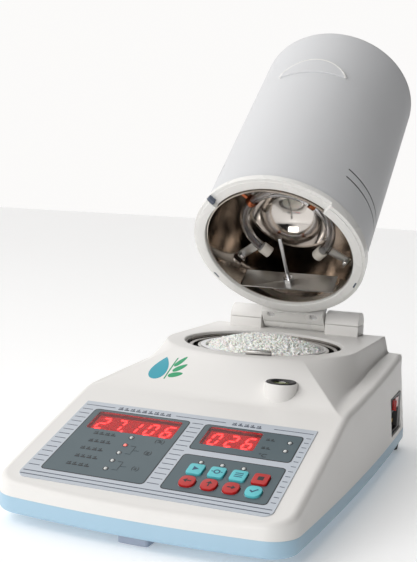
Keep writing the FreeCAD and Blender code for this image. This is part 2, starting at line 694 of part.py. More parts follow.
def make_lower_shell():
    low = value("floor_height")
    seam = value("seam_height")
    outside = plan_block(low, seam, 0, "0")
    bottom = [edge for edge in outside.Edges if edge.BoundBox.ZMax < low + 0.01]
    outside = outside.makeFillet(value("rim_round") * 0.7, bottom)
    inside = plan_block(value(FLOOR_TOP), seam + 5, value("shell_wall"), "0")
    shell = outside.cut(inside)
    posts = []
    holes = []
    for x, y in POSTS:
        foot = Vector(value(x), value(y), low)
        posts.append(Part.makeCylinder(value("post_radius"), seam - low, foot))
        holes.append(Part.makeCylinder(value("screw_radius + 0.2"), 60, foot - Vector(0, 0, 5)))
        sunk = value("shell_wall + 5")
        holes.append(Part.makeCylinder(value("screw_radius * 2 + 0.2"), sunk, foot - Vector(0, 0, 5)))
    for x, y in BOARD_CORNERS:
        foot = Vector(value(x), value(y), value(FLOOR_TOP))
        posts.append(Part.makeCylinder(value("board_post_radius"), value("spacer_height"), foot))
        holes.append(Part.makeCylinder(value("board_screw_radius"), value("spacer_height"), foot))
    for side in (-1, 1):
        foot = Vector(side * value("foot_x"), value("foot_back"), low)
        posts.append(Part.makeCylinder(value("stud_radius + 3"), seam - low - 1, foot))
        holes.append(Part.makeCylinder(value("stud_radius + stud_clearance"), 60, foot - Vector(0, 0, 5)))
    return shell.multiFuse(posts).cut(Part.makeCompound(holes))


def add_shell(label, shape):
    item = doc.addObject("Part::Feature", "Shell")
    item.Shape = shape
    node(label, item)


add_shell("upper_shell", make_upper_shell())
add_shell("lower_shell", make_lower_shell())

screw_set = []
for x, y in POSTS:
    head = rod("screw_radius * 2", "shell_wall - 0.8", (x, y, "floor_height + 0.8"))
    shank = rod("screw_radius", "seam_height - floor_height + screw_rise", (x, y, FLOOR_TOP))
    screw_set.append(join(head, shank))
node("case_screws", group(*screw_set))

front_foot = block(
    ("-front_foot_width / 2", "front_foot_width / 2"),
    (f"{FRONT} + 2", f"{FRONT} + 2 + front_foot_length"),
    ("0", "floor_height"),
)
node("front_foot", rounded(front_foot, "stud_radius * 0.7", upright))

for label, side in (("left_rear_foot", -1), ("right_rear_foot", 1)):
    at = (f"{side} * foot_x", "foot_back")
    knob = cone("foot_radius - 1", "foot_radius", "floor_height - foot_clearance", (*at, "0"))
    stud = rod("stud_radius", "seam_height - 3", (*at, "1"))
    node(label, join(knob, stud))


# ---- sample chamber ---------------------------------------------------------------------------------

node("chamber_bowl", lathe([
    ("spindle_radius + 5", BOWL_FLOOR),
    ("chamber_radius", BOWL_FLOOR),
    ("chamber_radius", "platform_height - 2"),
    ("chamber_radius - sheet_metal", "platform_height - 2"),
    ("chamber_radius - sheet_metal", f"{BOWL_FLOOR} + sheet_metal"),
    ("spindle_radius + 5", f"{BOWL_FLOOR} + sheet_metal"),
]))

RING_WALL = "(draft_ring_radius - sheet_metal)"
RING_LIP = "(draft_ring_radius + draft_ring_lip)"
DRAFT_TOP = "(platform_height - draft_ring_drop)"
node("draft_ring", lathe([
    (RING_WALL, f"{BOWL_FLOOR} + sheet_metal"),
    ("draft_ring_radius", f"{BOWL_FLOOR} + sheet_metal"),
    ("draft_ring_radius", f"{DRAFT_TOP} - sheet_metal"),
    (RING_LIP, f"{DRAFT_TOP} - sheet_metal"),
    (RING_LIP, DRAFT_TOP),
    (RING_WALL, DRAFT_TOP),
]))

arm_tip = f"({CARRIER_RADIUS} - 1)"
arms = []
for angle in (30, 150, 270):
    arm = block(("0", arm_tip), ("-arm_width / 2", "arm_width / 2"), (f"{PAN_BOTTOM} - 3", f"{PAN_BOTTOM} - 1"))
    horn = block(
        (f"{PAN_WALL} + 1.2", arm_tip),
        ("-arm_width / 2", "arm_width / 2"),
        (f"{PAN_BOTTOM} - 3", f"{CARRIER_TOP} - carrier_sheet"),
    )
    arms.append(turned(join(arm, horn), angle))
cell_top = "cell_floor + cell_height"
spindle = rod("spindle_radius", f"{PAN_BOTTOM} - 1 - ({cell_top})", ("0", "0", cell_top))
node("pan_support", join(spindle, *arms))

carrier_ring = lathe([
    (f"{PAN_WALL} + 0.6", f"{CARRIER_TOP} - carrier_sheet"),
    (CARRIER_RADIUS, f"{CARRIER_TOP} - carrier_sheet"),
    (CARRIER_RADIUS, CARRIER_TOP),
    (f"{PAN_WALL} + 0.6", CARRIER_TOP),
])
tab_x = ("-tab_width / 2", "tab_width / 2")
TAB_TOP = "(platform_height + carrier_sheet + 0.7)"
RISER = f"({CARRIER_RADIUS} + 2.6)"
CARRIER_LOW = f"({CARRIER_TOP} - carrier_sheet)"
TAB_LOW = f"({TAB_TOP} - carrier_sheet)"
tab_root = block(tab_x, (f"-{RISER}", f"-{CARRIER_RADIUS} + 2"), (CARRIER_LOW, CARRIER_TOP))
tab_riser = block(tab_x, (f"-{RISER}", f"-{RISER} + carrier_sheet"), (CARRIER_LOW, TAB_TOP))
tab_flat = block(tab_x, ("-tab_reach", f"-{RISER} + carrier_sheet"), (TAB_LOW, TAB_TOP))
tab_lip = block(tab_x, ("-tab_reach", "-tab_reach + carrier_sheet"), (TAB_LOW, f"{TAB_TOP} + 1"))
tab = turned(join(tab_root, tab_riser, tab_flat, tab_lip), value("tab_angle"))
node("pan_carrier", join(carrier_ring, tab))

node("sample_pan", lathe([
    ("0", PAN_BOTTOM),
    (PAN_WALL, PAN_BOTTOM),
    (PAN_WALL, f"{PAN_TOP} - pan_sheet"),
    ("pan_radius", f"{PAN_TOP} - pan_sheet"),
    ("pan_radius", PAN_TOP),
    (f"{PAN_WALL} - pan_sheet", PAN_TOP),
    (f"{PAN_WALL} - pan_sheet", f"{PAN_BOTTOM} + pan_sheet"),
    ("0", f"{PAN_BOTTOM} + pan_sheet"),
]))

HEAP_EDGE = f"({PAN_WALL} - pan_sheet)"
node("grain_sample", lathe([
    ("0", f"{PAN_BOTTOM} + pan_sheet"),
    (HEAP_EDGE, f"{PAN_BOTTOM} + pan_sheet"),
    (HEAP_EDGE, f"{PAN_TOP} - 1"),
    (f"{HEAP_EDGE} * 0.8", f"{PAN_TOP} + heap_height * 0.42"),
    (f"{HEAP_EDGE} * 0.5", f"{PAN_TOP} + heap_height * 0.84"),
    (f"{HEAP_EDGE} * 0.2", f"{PAN_TOP} + heap_height"),
    ("0", f"{PAN_TOP} + heap_height"),
]))


# ---- spirit level -----------------------------------------------------------------------------------

level_at = ("bubble_x", BUBBLE_Y)
bezel = cut(
    join(
        rod("vial_radius + 2", "vial_height", (*level_at, "bubble_top - vial_height")),
        rod("boss_radius - 1", "0.8", (*level_at, "bubble_top")),
    ),
    rod("vial_radius", "vial_height * 2", (*level_at, "bubble_top - vial_height")),
)
node("level_bezel", bezel)
node("level_vial", rod("vial_radius", "vial_height", (*level_at, "bubble_top - vial_height")))


# ---- weighing -----------------------------------------------------------------------------------------

cell_x = ("-cell_width / 2", "cell_width / 2")
CELL_FRONT = "(-cell_forward)"
CELL_BACK = "(cell_length - cell_forward)"
CELL_MIDDLE_Z = "(cell_floor + cell_height / 2)"
THREAD_LOW = f"({FLOOR_TOP} + 2)"
cell = block(cell_x, (CELL_FRONT, CELL_BACK), ("cell_floor", "cell_floor + cell_height"))
flexure_y = ("cell_length / 2 - flexure_pitch", "cell_length / 2")
across_cell = ("-cell_width / 2 - 2", "cell_width / 2 + 2")
flexures = [rod("flexure_radius", "cell_width + 4", (across_cell[0], y, CELL_MIDDLE_Z), "X") for y in flexure_y]
slit_z = (f"{CELL_MIDDLE_Z} - flexure_slit / 2", f"{CELL_MIDDLE_Z} + flexure_slit / 2")
slit = block(across_cell, flexure_y, slit_z)
mount_screws = []
mount_bores = []
for x in ("-cell_width / 4", "cell_width / 4"):
    at = (x, f"{CELL_BACK} - cell_width / 2")
    reach = f"cell_floor + cell_height - {THREAD_LOW}"
    head = rod("cell_head_radius", "cell_head_tall", (*at, "cell_floor + cell_height"))
    mount_screws.append(join(head, rod("cell_screw_radius", reach, (*at, THREAD_LOW))))
    mount_bores.append(rod("cell_screw_radius", reach, (*at, THREAD_LOW)))
node("load_cell", cut(cell, *flexures, slit, *mount_bores))
node("load_cell_screws", group(*mount_screws))
cell_mount = block(cell_x, (f"{CELL_BACK} - cell_width", CELL_BACK), (FLOOR_TOP, "cell_floor"))
node("load_cell_mount", cut(cell_mount, *mount_bores))


# ---- electronics --------------------------------------------------------------------------------------

board_screws = []
board_holes = []
for at in BOARD_CORNERS:
    board_holes.append(rod("board_screw_radius", "spacer_height + board_sheet + 1", (*at, FLOOR_TOP)))
    head = rod("board_screw_radius + 1.3", "board_screw_radius * 1.2", (*at, MAIN_BOARD_TOP))
    shank = rod("board_screw_radius", "spacer_height - 1 + board_sheet", (*at, f"{FLOOR_TOP} + 1"))
    board_screws.append(join(head, shank))
main_board = block(BOARD_X, BOARD_Y, (f"{FLOOR_TOP} + spacer_height", MAIN_BOARD_TOP))
node("main_board", cut(main_board, *board_holes))
node("board_screws", group(*board_screws))

# Parts on the main board: left edge, width, distance behind the front corners, length and height.
CHIPS = [(-60, 20, 46, 14, 3), (-28, 14, 46, 14, 2.4), (10, 16, 70, 20, 15), (-16, 16, 76, 4, 20)]
# Capacitors: middle, distance behind the front corners, radius and height.
CAPACITORS = [(-50, 86, 6, 18), (-34, 86, 6, 18)]
parts_on_board = []
for left, width, back, length, height in CHIPS:
    along = (f"{FRONT} + {back}", f"{FRONT} + {back} + {length}")
    parts_on_board.append(block((left, left + width), along, (MAIN_BOARD_TOP, f"{MAIN_BOARD_TOP} + {height}")))
for x, back, radius, height in CAPACITORS:
    parts_on_board.append(rod(radius, height, (x, f"{FRONT} + {back}", MAIN_BOARD_TOP)))
node("board_components", group(*parts_on_board))

CORE_FRONT = f"({CREASE_Y} + core_start)"
CORE_BACK = f"({CREASE_Y} + core_start + core_length)"
COIL_LOW = f"({FLOOR_TOP} + coil_low)"
first_coil = "core_x + core_width / 4 - coil_width * 3 / 8"
second_coil = "core_x + core_width * 3 / 4 - coil_width * 5 / 8"
windings = []
windows = []
for left in (first_coil, second_coil):
    across = (left, f"{left} + coil_width")
    upright_reach = (COIL_LOW, f"{COIL_LOW} + coil_tall")
    windings.append(block(across, (f"{CORE_FRONT} - coil_out", f"{CORE_BACK} + coil_out"), upright_reach))
    windows.append(block(across, (f"{CORE_FRONT} - 5", f"{CORE_BACK} + 5"), upright_reach))
core_z = (FLOOR_TOP, f"{FLOOR_TOP} + core_tall")
core = block(("core_x", "core_x + core_width"), (CORE_FRONT, CORE_BACK), core_z)
node("transformer_coils", group(*windings))
node("transformer_core", cut(core, *windows))

board_across = ("-overlay_width / 2 + 8", "overlay_width / 2 - 8")
board_along = ("overlay_start + 7.5", "overlay_start + overlay_length - 7.5")
node("display_board", block(board_across, board_along, ("-board_drop", BOARD_TOP)), PANEL)


def display_module(name, digits):
    """A row of seven-segment digits behind a window."""
    pitch = f"({name}_width - 2) / {digits}"
    tall = ("window_rise - window_height / 2 + 2", "window_rise + window_height / 2 - 2")
    depth = (BOARD_TOP, "-window_sheet - 0.5")
    modules = []
    for number in range(digits):
        left = f"{name}_x - {name}_width / 2 + 1 + {number} * {pitch}"
        modules.append(block((f"{left} + led_gap", f"{left} + {pitch} - led_gap"), tall, depth))
    return group(*modules)


def display_window(name):
    across = (f"{name}_x - {name}_width / 2", f"{name}_x + {name}_width / 2")
    tall = ("window_rise - window_height / 2", "window_rise + window_height / 2")
    pane = block(across, tall, ("overlay_sheet - window_sheet", "overlay_sheet"))
    return rounded(pane, "led_radius * 1.5", upright)


node("main_display_digits", display_module("main_window", 5), PANEL)
node("temperature_digits", display_module("small_window", 3), PANEL)
node("main_display_window", display_window("main_window"), PANEL)
node("temperature_window", display_window("small_window"), PANEL)

lamp_length = "board_drop - board_sheet + overlay_sheet + led_stand"
lamp_bodies = [rod("led_radius", lamp_length, (x, y, BOARD_TOP)) for x, y in LAMPS]
node("indicator_lamps", group(*lamp_bodies), PANEL)

overlay_y = ("overlay_start", "overlay_start + overlay_length")
overlay_z = ("0", "overlay_sheet")
film = block(("-overlay_width / 2", "overlay_width / 2"), overlay_y, overlay_z)
film_front = value("overlay_start") + 1
film = rounded(film, "overlay_radius", lambda edge: upright(edge) and edge.CenterOfMass.y < film_front)
openings = []
deep = ("-1", "overlay_sheet + 1")
for name in ("main_window", "small_window"):
    across = (f"{name}_x - {name}_width / 2 - shell_gap", f"{name}_x + {name}_width / 2 + shell_gap")
    tall = ("window_rise - window_height / 2 - shell_gap", "window_rise + window_height / 2 + shell_gap")
    openings.append(block(across, tall, deep))


def key_block(label, grow, depth):
    """A key's outline, squared or rounded, between two depths and grown on every side."""
    x, y = key_centre(*KEYS[label])
    across = (f"{x} - key_width / 2 - {grow}", f"{x} + key_width / 2 + {grow}")
    along = (f"{y} - key_length / 2 - {grow}", f"{y} + key_length / 2 + {grow}")
    radius = "key_width * 0.47" if label in ROUND_KEYS else "key_width * 0.22"
    return rounded(block(across, along, depth), radius, upright)


for label in KEYS:
    openings.append(key_block(label, "key_gap", deep))
for x, y in LAMPS:
    openings.append(rod("led_radius + led_gap", "overlay_sheet + 2", (x, y, "-1")))
node("panel_overlay", cut(film, *openings), PANEL)

FLANGE_TOP = "(-shell_wall - key_travel * 0.5)"
STEM_END = f"({FLANGE_TOP} - stem_length)"
SWITCH_TOP = f"({BOARD_TOP} + switch_tall)"
switches = []
for label in KEYS:
    x, y = key_centre(*KEYS[label])
    cap = key_block(label, "0", (FLANGE_TOP, "overlay_sheet + key_stand"))
    across = (f"{x} - key_width / 2 - key_flange", f"{x} + key_width / 2 + key_flange")
    along = (f"{y} - key_length / 2 - key_flange", f"{y} + key_length / 2 + key_flange")
    flange = block(across, along, (f"{FLANGE_TOP} - flange_sheet", FLANGE_TOP))
    stem = rod("stem_radius", f"{FLANGE_TOP} - {STEM_END}", (x, y, STEM_END))
    node(label, join(cap, flange, stem), PANEL)
    across = (f"{x} - switch_width / 2", f"{x} + switch_width / 2")
    along = (f"{y} - switch_width / 2", f"{y} + switch_width / 2")
    button = rod("switch_button_radius", f"{STEM_END} - key_travel * 1.5 - {SWITCH_TOP}", (x, y, SWITCH_TOP))
    switches.append(join(block(across, along, (BOARD_TOP, SWITCH_TOP)), button))
node("key_switches", group(*switches), PANEL)


# ---- power inlet and data port --------------------------------------------------------------------------

SOCKET_Z = f"({INLET_Z[0]} + 2 + socket_tall / 2)"
ROCKER_Z = f"({INLET_Z[1]} - 2 - rocker_gap - rocker_tall / 2)"
PIVOT_X = "(inlet_face - pivot_depth)"
inlet_body = block(("inlet_face - socket_depth - 6", "inlet_face"), INLET_Y, INLET_Z)
socket = block(
    ("inlet_face - socket_depth", "inlet_face + 5"),
    ("inlet_back - socket_length / 2", "inlet_back + socket_length / 2"),
    (f"{SOCKET_Z} - socket_tall / 2", f"{SOCKET_Z} + socket_tall / 2"),
)
well = block(
    ("inlet_face - well_depth", "inlet_face + 5"),
    ("inlet_back - rocker_length / 2 - rocker_gap * 2.4", "inlet_back + rocker_length / 2 + rocker_gap * 2.4"),
    (f"{ROCKER_Z} - rocker_tall / 2 - rocker_gap", f"{ROCKER_Z} + rocker_tall / 2 + rocker_gap"),
)
node("power_inlet", cut(inlet_body, socket, well))
blades = []
for step, rise in ((-1, "0"), (0, "earth_rise"), (1, "0")):
    middle = f"inlet_back + {step} * blade_pitch"
    blades.append(block(
        ("inlet_face - socket_depth", "inlet_face - 3"),
        (f"{middle} - blade_width / 2", f"{middle} + blade_width / 2"),
        (f"{SOCKET_Z} + {rise} - blade_tall", f"{SOCKET_Z} + {rise}"),
    ))
node("inlet_blades", group(*blades))
ROCKER_LOW = f"({ROCKER_Z} - rocker_tall / 2)"
rocker_plate = plate(
    [
        ("-pivot_radius / 2", "-rocker_length / 2 + rocker_gap"),
        ("rocker_face", "-rocker_length / 2"),
        ("rocker_valley", "0"),
        ("rocker_face", "rocker_length / 2"),
        ("-pivot_radius / 2", "rocker_length / 2 - rocker_gap"),
    ],
    ROCKER_LOW,
    f"{ROCKER_LOW} + rocker_tall",
)
rocker = join(rocker_plate, rod("pivot_radius", "rocker_tall", ("0", "0", ROCKER_LOW)))
pivot = Vector(value(PIVOT_X), value("inlet_back"), 0)
node("power_rocker", rocker, Placement(pivot, Rotation(Vector(0, 0, 1), value("rocker_lean"))))

PORT_MIDDLE = f"(({PORT_X[0]} + {PORT_X[1]}) / 2)"
PORT_MIDDLE_Z = f"(({PORT_Z[0]} + {PORT_Z[1]}) / 2)"
PLATE_FRONT = f"({BACK} - port_plate_depth)"
PLATE_BACK = f"({PLATE_FRONT} + 1)"
flange_x = (f"{PORT_X[0]} + shell_gap", f"{PORT_X[1]} - shell_gap")
flange_z = (f"{PORT_Z[0]} + shell_gap", f"{PORT_Z[1]} - shell_gap")


def plug_block(grow, y):
    """The data port's collar outline between two depths, grown on every side."""
    across = (f"{PORT_MIDDLE} - plug_width / 2 - {grow}", f"{PORT_MIDDLE} + plug_width / 2 + {grow}")
    tall = (f"{PORT_MIDDLE_Z} - plug_tall / 2 - {grow}", f"{PORT_MIDDLE_Z} + plug_tall / 2 + {grow}")
    return block(across, y, tall)


port_body = join(
    block(flange_x, (PLATE_FRONT, PLATE_BACK), flange_z),
    plug_block("0", (PLATE_BACK, f"{BACK} - 1")),
    plug_block("1", (f"{PLATE_FRONT} - 8.5", PLATE_FRONT)),
)
port_shell = cut(port_body, plug_block("-plug_wall", (f"{PLATE_BACK} + 0.5", f"{BACK} + 1")))
standoffs = []
for side in (-1, 1):
    at = (f"{PORT_MIDDLE} + {side} * port_screw_pitch / 2", PLATE_BACK, PORT_MIDDLE_Z)
    standoffs.append(hexagon("port_nut", "port_nut", at, "Y"))
node("data_port", join(port_shell, *standoffs))


# ---- hinge ----------------------------------------------------------------------------------------------

caps = []
for side in (-1, 1):
    near = "ear_inner" if side > 0 else "-ear_inner - ear_width"
    dome = rod("ear_radius", "ear_width", (near, "hinge_setback", HINGE_Z), "X")
    along = ("hinge_setback - ear_radius", "hinge_setback + ear_radius")
    upper = block((near, f"{near} + ear_width"), along, (HINGE_Z, HINGE_TOP_Z))
    bore = rod("pin_radius", "ear_width + 2", (f"{near} - 1", "hinge_setback", HINGE_Z), "X")
    caps.append(cut(overlap(dome, upper), bore))
node("hinge_caps", group(*caps))

PIN_END = "(ear_inner + ear_width - 4)"
node("hinge_pin", rod("pin_radius", f"2 * {PIN_END}", (f"-{PIN_END}", "hinge_setback", HINGE_Z), "X"))
ARM_X = "(ear_inner - arm_clearance)"
ARM_TOP = f"({FACE} + arm_thickness)"
barrel = rod("barrel_radius", f"2 * {ARM_X}", (f"-{ARM_X}", "hinge_setback", HINGE_Z), "X")
plate_y = ("ring_outer + ear_gap", "hinge_setback")
arm_plate = block((f"-{ARM_X}", ARM_X), plate_y, (FACE, ARM_TOP))
pin_bore = rod("pin_radius + pin_clearance", "4 * ear_inner", ("-2 * ear_inner", "hinge_setback", HINGE_Z), "X")
ARM_SCREW_Y = "(ring_outer + arm_screw_gap)"
HEAD_LOW = f"({FACE} + arm_head_drop)"
arm_screws = []
arm_holes = []
for x in ("-arm_screw_x", "arm_screw_x"):
    at = (x, ARM_SCREW_Y)
    head = rod("arm_screw_head", "arm_head_tall", (*at, HEAD_LOW))
    arm_screws.append(join(head, rod("screw_radius", "arm_thickness + 6", (*at, f"{HEAD_LOW} + 1.6"))))
    sunk = rod("arm_screw_head + shell_gap", "arm_head_drop + arm_head_tall", (*at, FACE))
    arm_holes.append(join(sunk, rod("screw_radius", "arm_thickness + 8", (*at, f"{FACE} + 1"))))
stop_slot = block(
    (f"-{ARM_X} + 1", f"{ARM_X} - 1"),
    ("hinge_setback - 4.6", "hinge_setback - 3.4"),
    (f"{FACE} - 4", f"{FACE} + arm_head_drop"),
)
node("hinge_arm", cut(join(barrel, arm_plate), pin_bore, *arm_holes, stop_slot), HEAD)
node("hinge_arm_screws", group(*arm_screws), HEAD)


# ---- heating head ---------------------------------------------------------------------------------------

HEAD_TOP = f"({FACE} + head_length)"
CORNER = "head_round * 0.293"
INNER = "(head_radius - head_wall)"
cover = lathe([
    (INNER, RING_TOP),
    ("head_radius", RING_TOP),
    ("head_radius", f"{HEAD_TOP} - head_round"),
    (f"head_radius - {CORNER}", f"{HEAD_TOP} - {CORNER}"),
    ("head_radius - head_round", HEAD_TOP),
    ("0", HEAD_TOP),
    ("0", f"{HEAD_TOP} - head_wall"),
    (f"{INNER} - head_round + head_wall", f"{HEAD_TOP} - head_wall"),
    (INNER, f"{HEAD_TOP} - head_round"),
])
lug_y = (f"{INNER} + 0.5", "hinge_setback - barrel_radius - ear_gap")
lug = block((f"-{ARM_X}", ARM_X), lug_y, (f"{ARM_TOP} + shell_gap", f"{ARM_TOP} + lug_height"))
grip_radius = "((head_radius * sin(grip_angle / 2))^2 + grip_rise^2) / (2 * grip_rise)"
grip_middle = f"{FACE} + grip_height + grip_rise - {grip_radius}"
grip_disc = rod(grip_radius, "head_radius", ("0", "-head_radius * 1.5", grip_middle), "Y")
grip_strip = block(
    ("-head_radius", "head_radius"),
    ("-head_radius - grip_stand - 5", "-head_radius * 0.5"),
    (f"{FACE} + grip_height", f"{FACE} + grip_height + grip_rise + 1"),
)
grip_curve = rod("head_radius + grip_stand", "grip_rise + 10", ("0", "0", f"{FACE} + grip_height - 3"))
grip_core = rod(f"{INNER} + 1", "grip_rise + 20", ("0", "0", f"{FACE} + grip_height - 8"))
grip = cut(overlap(grip_disc, grip_strip, grip_curve), grip_core)
vents = []
for line in range(2):
    for start in ("-vent_end", "180 + vent_end - vent_angle"):
        at = ("0", "0", f"{FACE} + vent_height + {line} * vent_pitch")
        vents.append(wedge_of_rod("head_radius + 5", "vent_slot", at, start, "vent_angle"))
vent_core = rod("head_radius - head_wall - 2", "60", ("0", "0", f"{FACE} + vent_height - 10"))
lug_bores = []
for x in ("-arm_screw_x", "arm_screw_x"):
    lug_bores.append(rod("screw_radius", "lug_height * 2", (x, ARM_SCREW_Y, ARM_TOP)))
node("head_cover", cut(join(cover, lug, grip), cut(group(*vents), vent_core), *lug_bores), HEAD)

face_ring = lathe([
    ("ring_inner", FACE),
    ("ring_outer - ring_step", FACE),
    ("ring_outer - ring_step", f"{FACE} + 1.2"),
    ("ring_outer", f"{FACE} + 1.2"),
    ("ring_outer", RING_TOP),
    ("ring_inner", RING_TOP),
])
notch = wedge_of_rod("ring_outer + 5", "handle_notch + 2", ("0", "0", f"{FACE} - 2"), "-135", "90")
node("face_ring", cut(face_ring, notch), HEAD)

LINER_LOW = f"({FACE} + 3)"
node("heat_liner", lathe([
    ("liner_radius - liner_sheet", LINER_LOW),
    ("liner_radius", LINER_LOW),
    ("liner_radius", LINER_TOP),
    ("liner_radius - liner_sheet", LINER_TOP),
]), HEAD)

DOME_EDGE = "(liner_radius - liner_sheet)"
DOME_LOW = f"({FACE} + dome_setback)"
DOME_TIP = f"({DOME_LOW} + dome_rise - 0.75 * liner_sheet)"
dome_radius = "((dome_rim^2 + dome_rise^2) / (2 * dome_rise))"
dome_centre = ("0", "0", f"{DOME_LOW} + dome_rise - {dome_radius}")
dome_skin = cut(ball(dome_radius, dome_centre), ball(f"{dome_radius} - liner_sheet", dome_centre))
dome_bowl = overlap(dome_skin, rod("dome_rim + 2", "dome_rise + 5", ("0", "0", DOME_LOW)))
dome_hanger = rod("dome_post", f"{LINER_TOP} + liner_sheet - {DOME_TIP}", ("0", "0", DOME_TIP))
dome_plate = rod("liner_radius", "liner_sheet", ("0", "0", LINER_TOP))
node("dome_reflector", join(dome_bowl, dome_hanger, dome_plate), HEAD)

node("insulation_jacket", lathe([
    ("liner_radius + 0.5", f"{RING_TOP} + 1"),
    ("liner_radius + 0.5 + jacket_thickness", f"{RING_TOP} + 1"),
    ("liner_radius + 0.5 + jacket_thickness", f"{LINER_TOP} - 1"),
    ("liner_radius + 0.5", f"{LINER_TOP} - 1"),
]), HEAD)

WALL_REACH = f"({DOME_EDGE} - wall_clearance)"
TAB_WALL = f"({DOME_EDGE} - 2.4)"
LAMP_SWEEP = "(360 - lamp_gap_angle)"
LAMP_START = "(90 + lamp_gap_angle / 2)"


def lamp_arc(radius):
    item = doc.addObject("Part::Torus", "Arc")
    bind(item, Radius1="lamp_radius", Radius2=radius, Angle3=LAMP_SWEEP)
    place(item, "0", "0", LAMP_Z, Rotation(Vector(0, 0, 1), value(LAMP_START)))
    return item


node("halogen_lamp", cut(lamp_arc("lamp_tube"), lamp_arc("lamp_tube - 1")), HEAD)
node("lamp_filament", lamp_arc("lamp_tube * 0.22"), HEAD)

end_caps = []
supports = []
support_screws = []
for side in (-1, 1):
    angle = 90 + side * value("lamp_gap_angle / 2")
    cap = rod("lamp_tube + 1", "cap_length", ("lamp_radius", "0", LAMP_Z), "Y")
    cap.Placement = Placement(cap.Placement.Base, Rotation(Vector(1, 0, 0), 90 * side))
    end_caps.append(turned(cap, angle))
    across = ("-strip_width / 2", "strip_width / 2")
    strip_top = f"{LAMP_Z} + strip_sheet / 2"
    strip_reach = ("lamp_radius + lamp_tube + 1", WALL_REACH)
    strip = block(strip_reach, across, (f"{LAMP_Z} - strip_sheet / 2", strip_top))
    tab_end = block((f"{TAB_WALL} - 1", TAB_WALL), across, (f"{LAMP_Z} - 6", strip_top))
    turn = angle + side * value("strip_turn")
    supports.append(turned(join(strip, tab_end), turn))
    screw_foot = (f"{TAB_WALL} - 1 - support_screw_tall", "0", f"{LAMP_Z} - 3.4")
    support_screws.append(turned(rod("support_screw_radius", "support_screw_tall", screw_foot, "X"), turn))
node("lamp_end_caps", group(*end_caps), HEAD)
node("lamp_supports", group(*supports), HEAD)
node("support_screws", group(*support_screws), HEAD)

clips = []
for angle in (-135, -45):
    clip = cut(
        rod("lamp_tube + clip_gap + clip_sheet", "clip_width", ("lamp_radius", "-clip_width / 2", LAMP_Z), "Y"),
        rod("lamp_tube + clip_gap", "clip_width + 2", ("lamp_radius", "-clip_width / 2 - 1", LAMP_Z), "Y"),
    )
    stalk = block(
        ("lamp_radius + lamp_tube + 0.6", WALL_REACH),
        ("-stalk_width / 2", "stalk_width / 2"),
        (f"{LAMP_Z} - stalk_sheet / 2", f"{LAMP_Z} + stalk_sheet / 2"),
    )
    clips.append(turned(join(clip, stalk), angle))
node("lamp_clips", group(*clips), HEAD)

PLATE_HALF = f"(sqrt({DOME_EDGE}^2 - (plate_setback + 2)^2) - 0.6)"
FOLD_HALF = f"(sqrt({DOME_EDGE}^2 - (plate_setback + fold_depth)^2) - 0.6)"
PLATE_LOW = f"({FACE} + 0.6)"
PLATE_TOP = f"({PLATE_LOW} + plate_height)"
sheet_y = ("plate_setback", "plate_setback + 1")
flat_sheet = block((f"-{PLATE_HALF}", PLATE_HALF), sheet_y, (PLATE_LOW, PLATE_TOP))
fold = block(
    (f"-{FOLD_HALF}", FOLD_HALF),
    ("plate_setback", "plate_setback + fold_depth"),
    (f"{PLATE_TOP} - 1", PLATE_TOP),
)


def probe_bore():
    """The hole for the probe, through the plate and both nuts."""
    return rod("probe_radius", "probe_tail * 2", ("0", "plate_setback - probe_tail", PROBE_Z), "Y")


probe_front = "plate_setback + probe_tail - probe_length - 12"
node("temperature_probe", rod("probe_radius", "probe_length + 6", ("0", probe_front, PROBE_Z), "Y"), HEAD)
node("probe_plate", cut(join(flat_sheet, fold), probe_bore()), HEAD)
front_nut = hexagon("nut_width", "nut_length", ("0", "plate_setback - nut_length", PROBE_Z), "Y")
back_nut = hexagon("nut_width", "nut_length - 0.5", ("0", "plate_setback + 1", PROBE_Z), "Y")
node("probe_nuts", group(cut(front_nut, probe_bore()), cut(back_nut, probe_bore())), HEAD)


# ---- write every piece ------------------------------------------------------------------------------------

doc.recompute()
for item in doc.Objects:
    faults = [state for state in item.State if state in ("Invalid", "Error")]
    if faults:
        raise RuntimeError(f"{item.Name} ({item.Label}) is {faults}")
os.makedirs("parts", exist_ok=True)
for item in nodes:
    if item.Shape.isNull() or not item.Shape.isValid() or not item.Shape.Solids:
        raise RuntimeError(f"{item.Label} has no valid solid")
    item.Shape.exportStep(f"parts/{item.Label}.step")
print(len(nodes), "nodes written")
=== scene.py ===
import json
import math
import random

import bmesh
import bpy
import numpy as np
from mathutils import Matrix, Vector

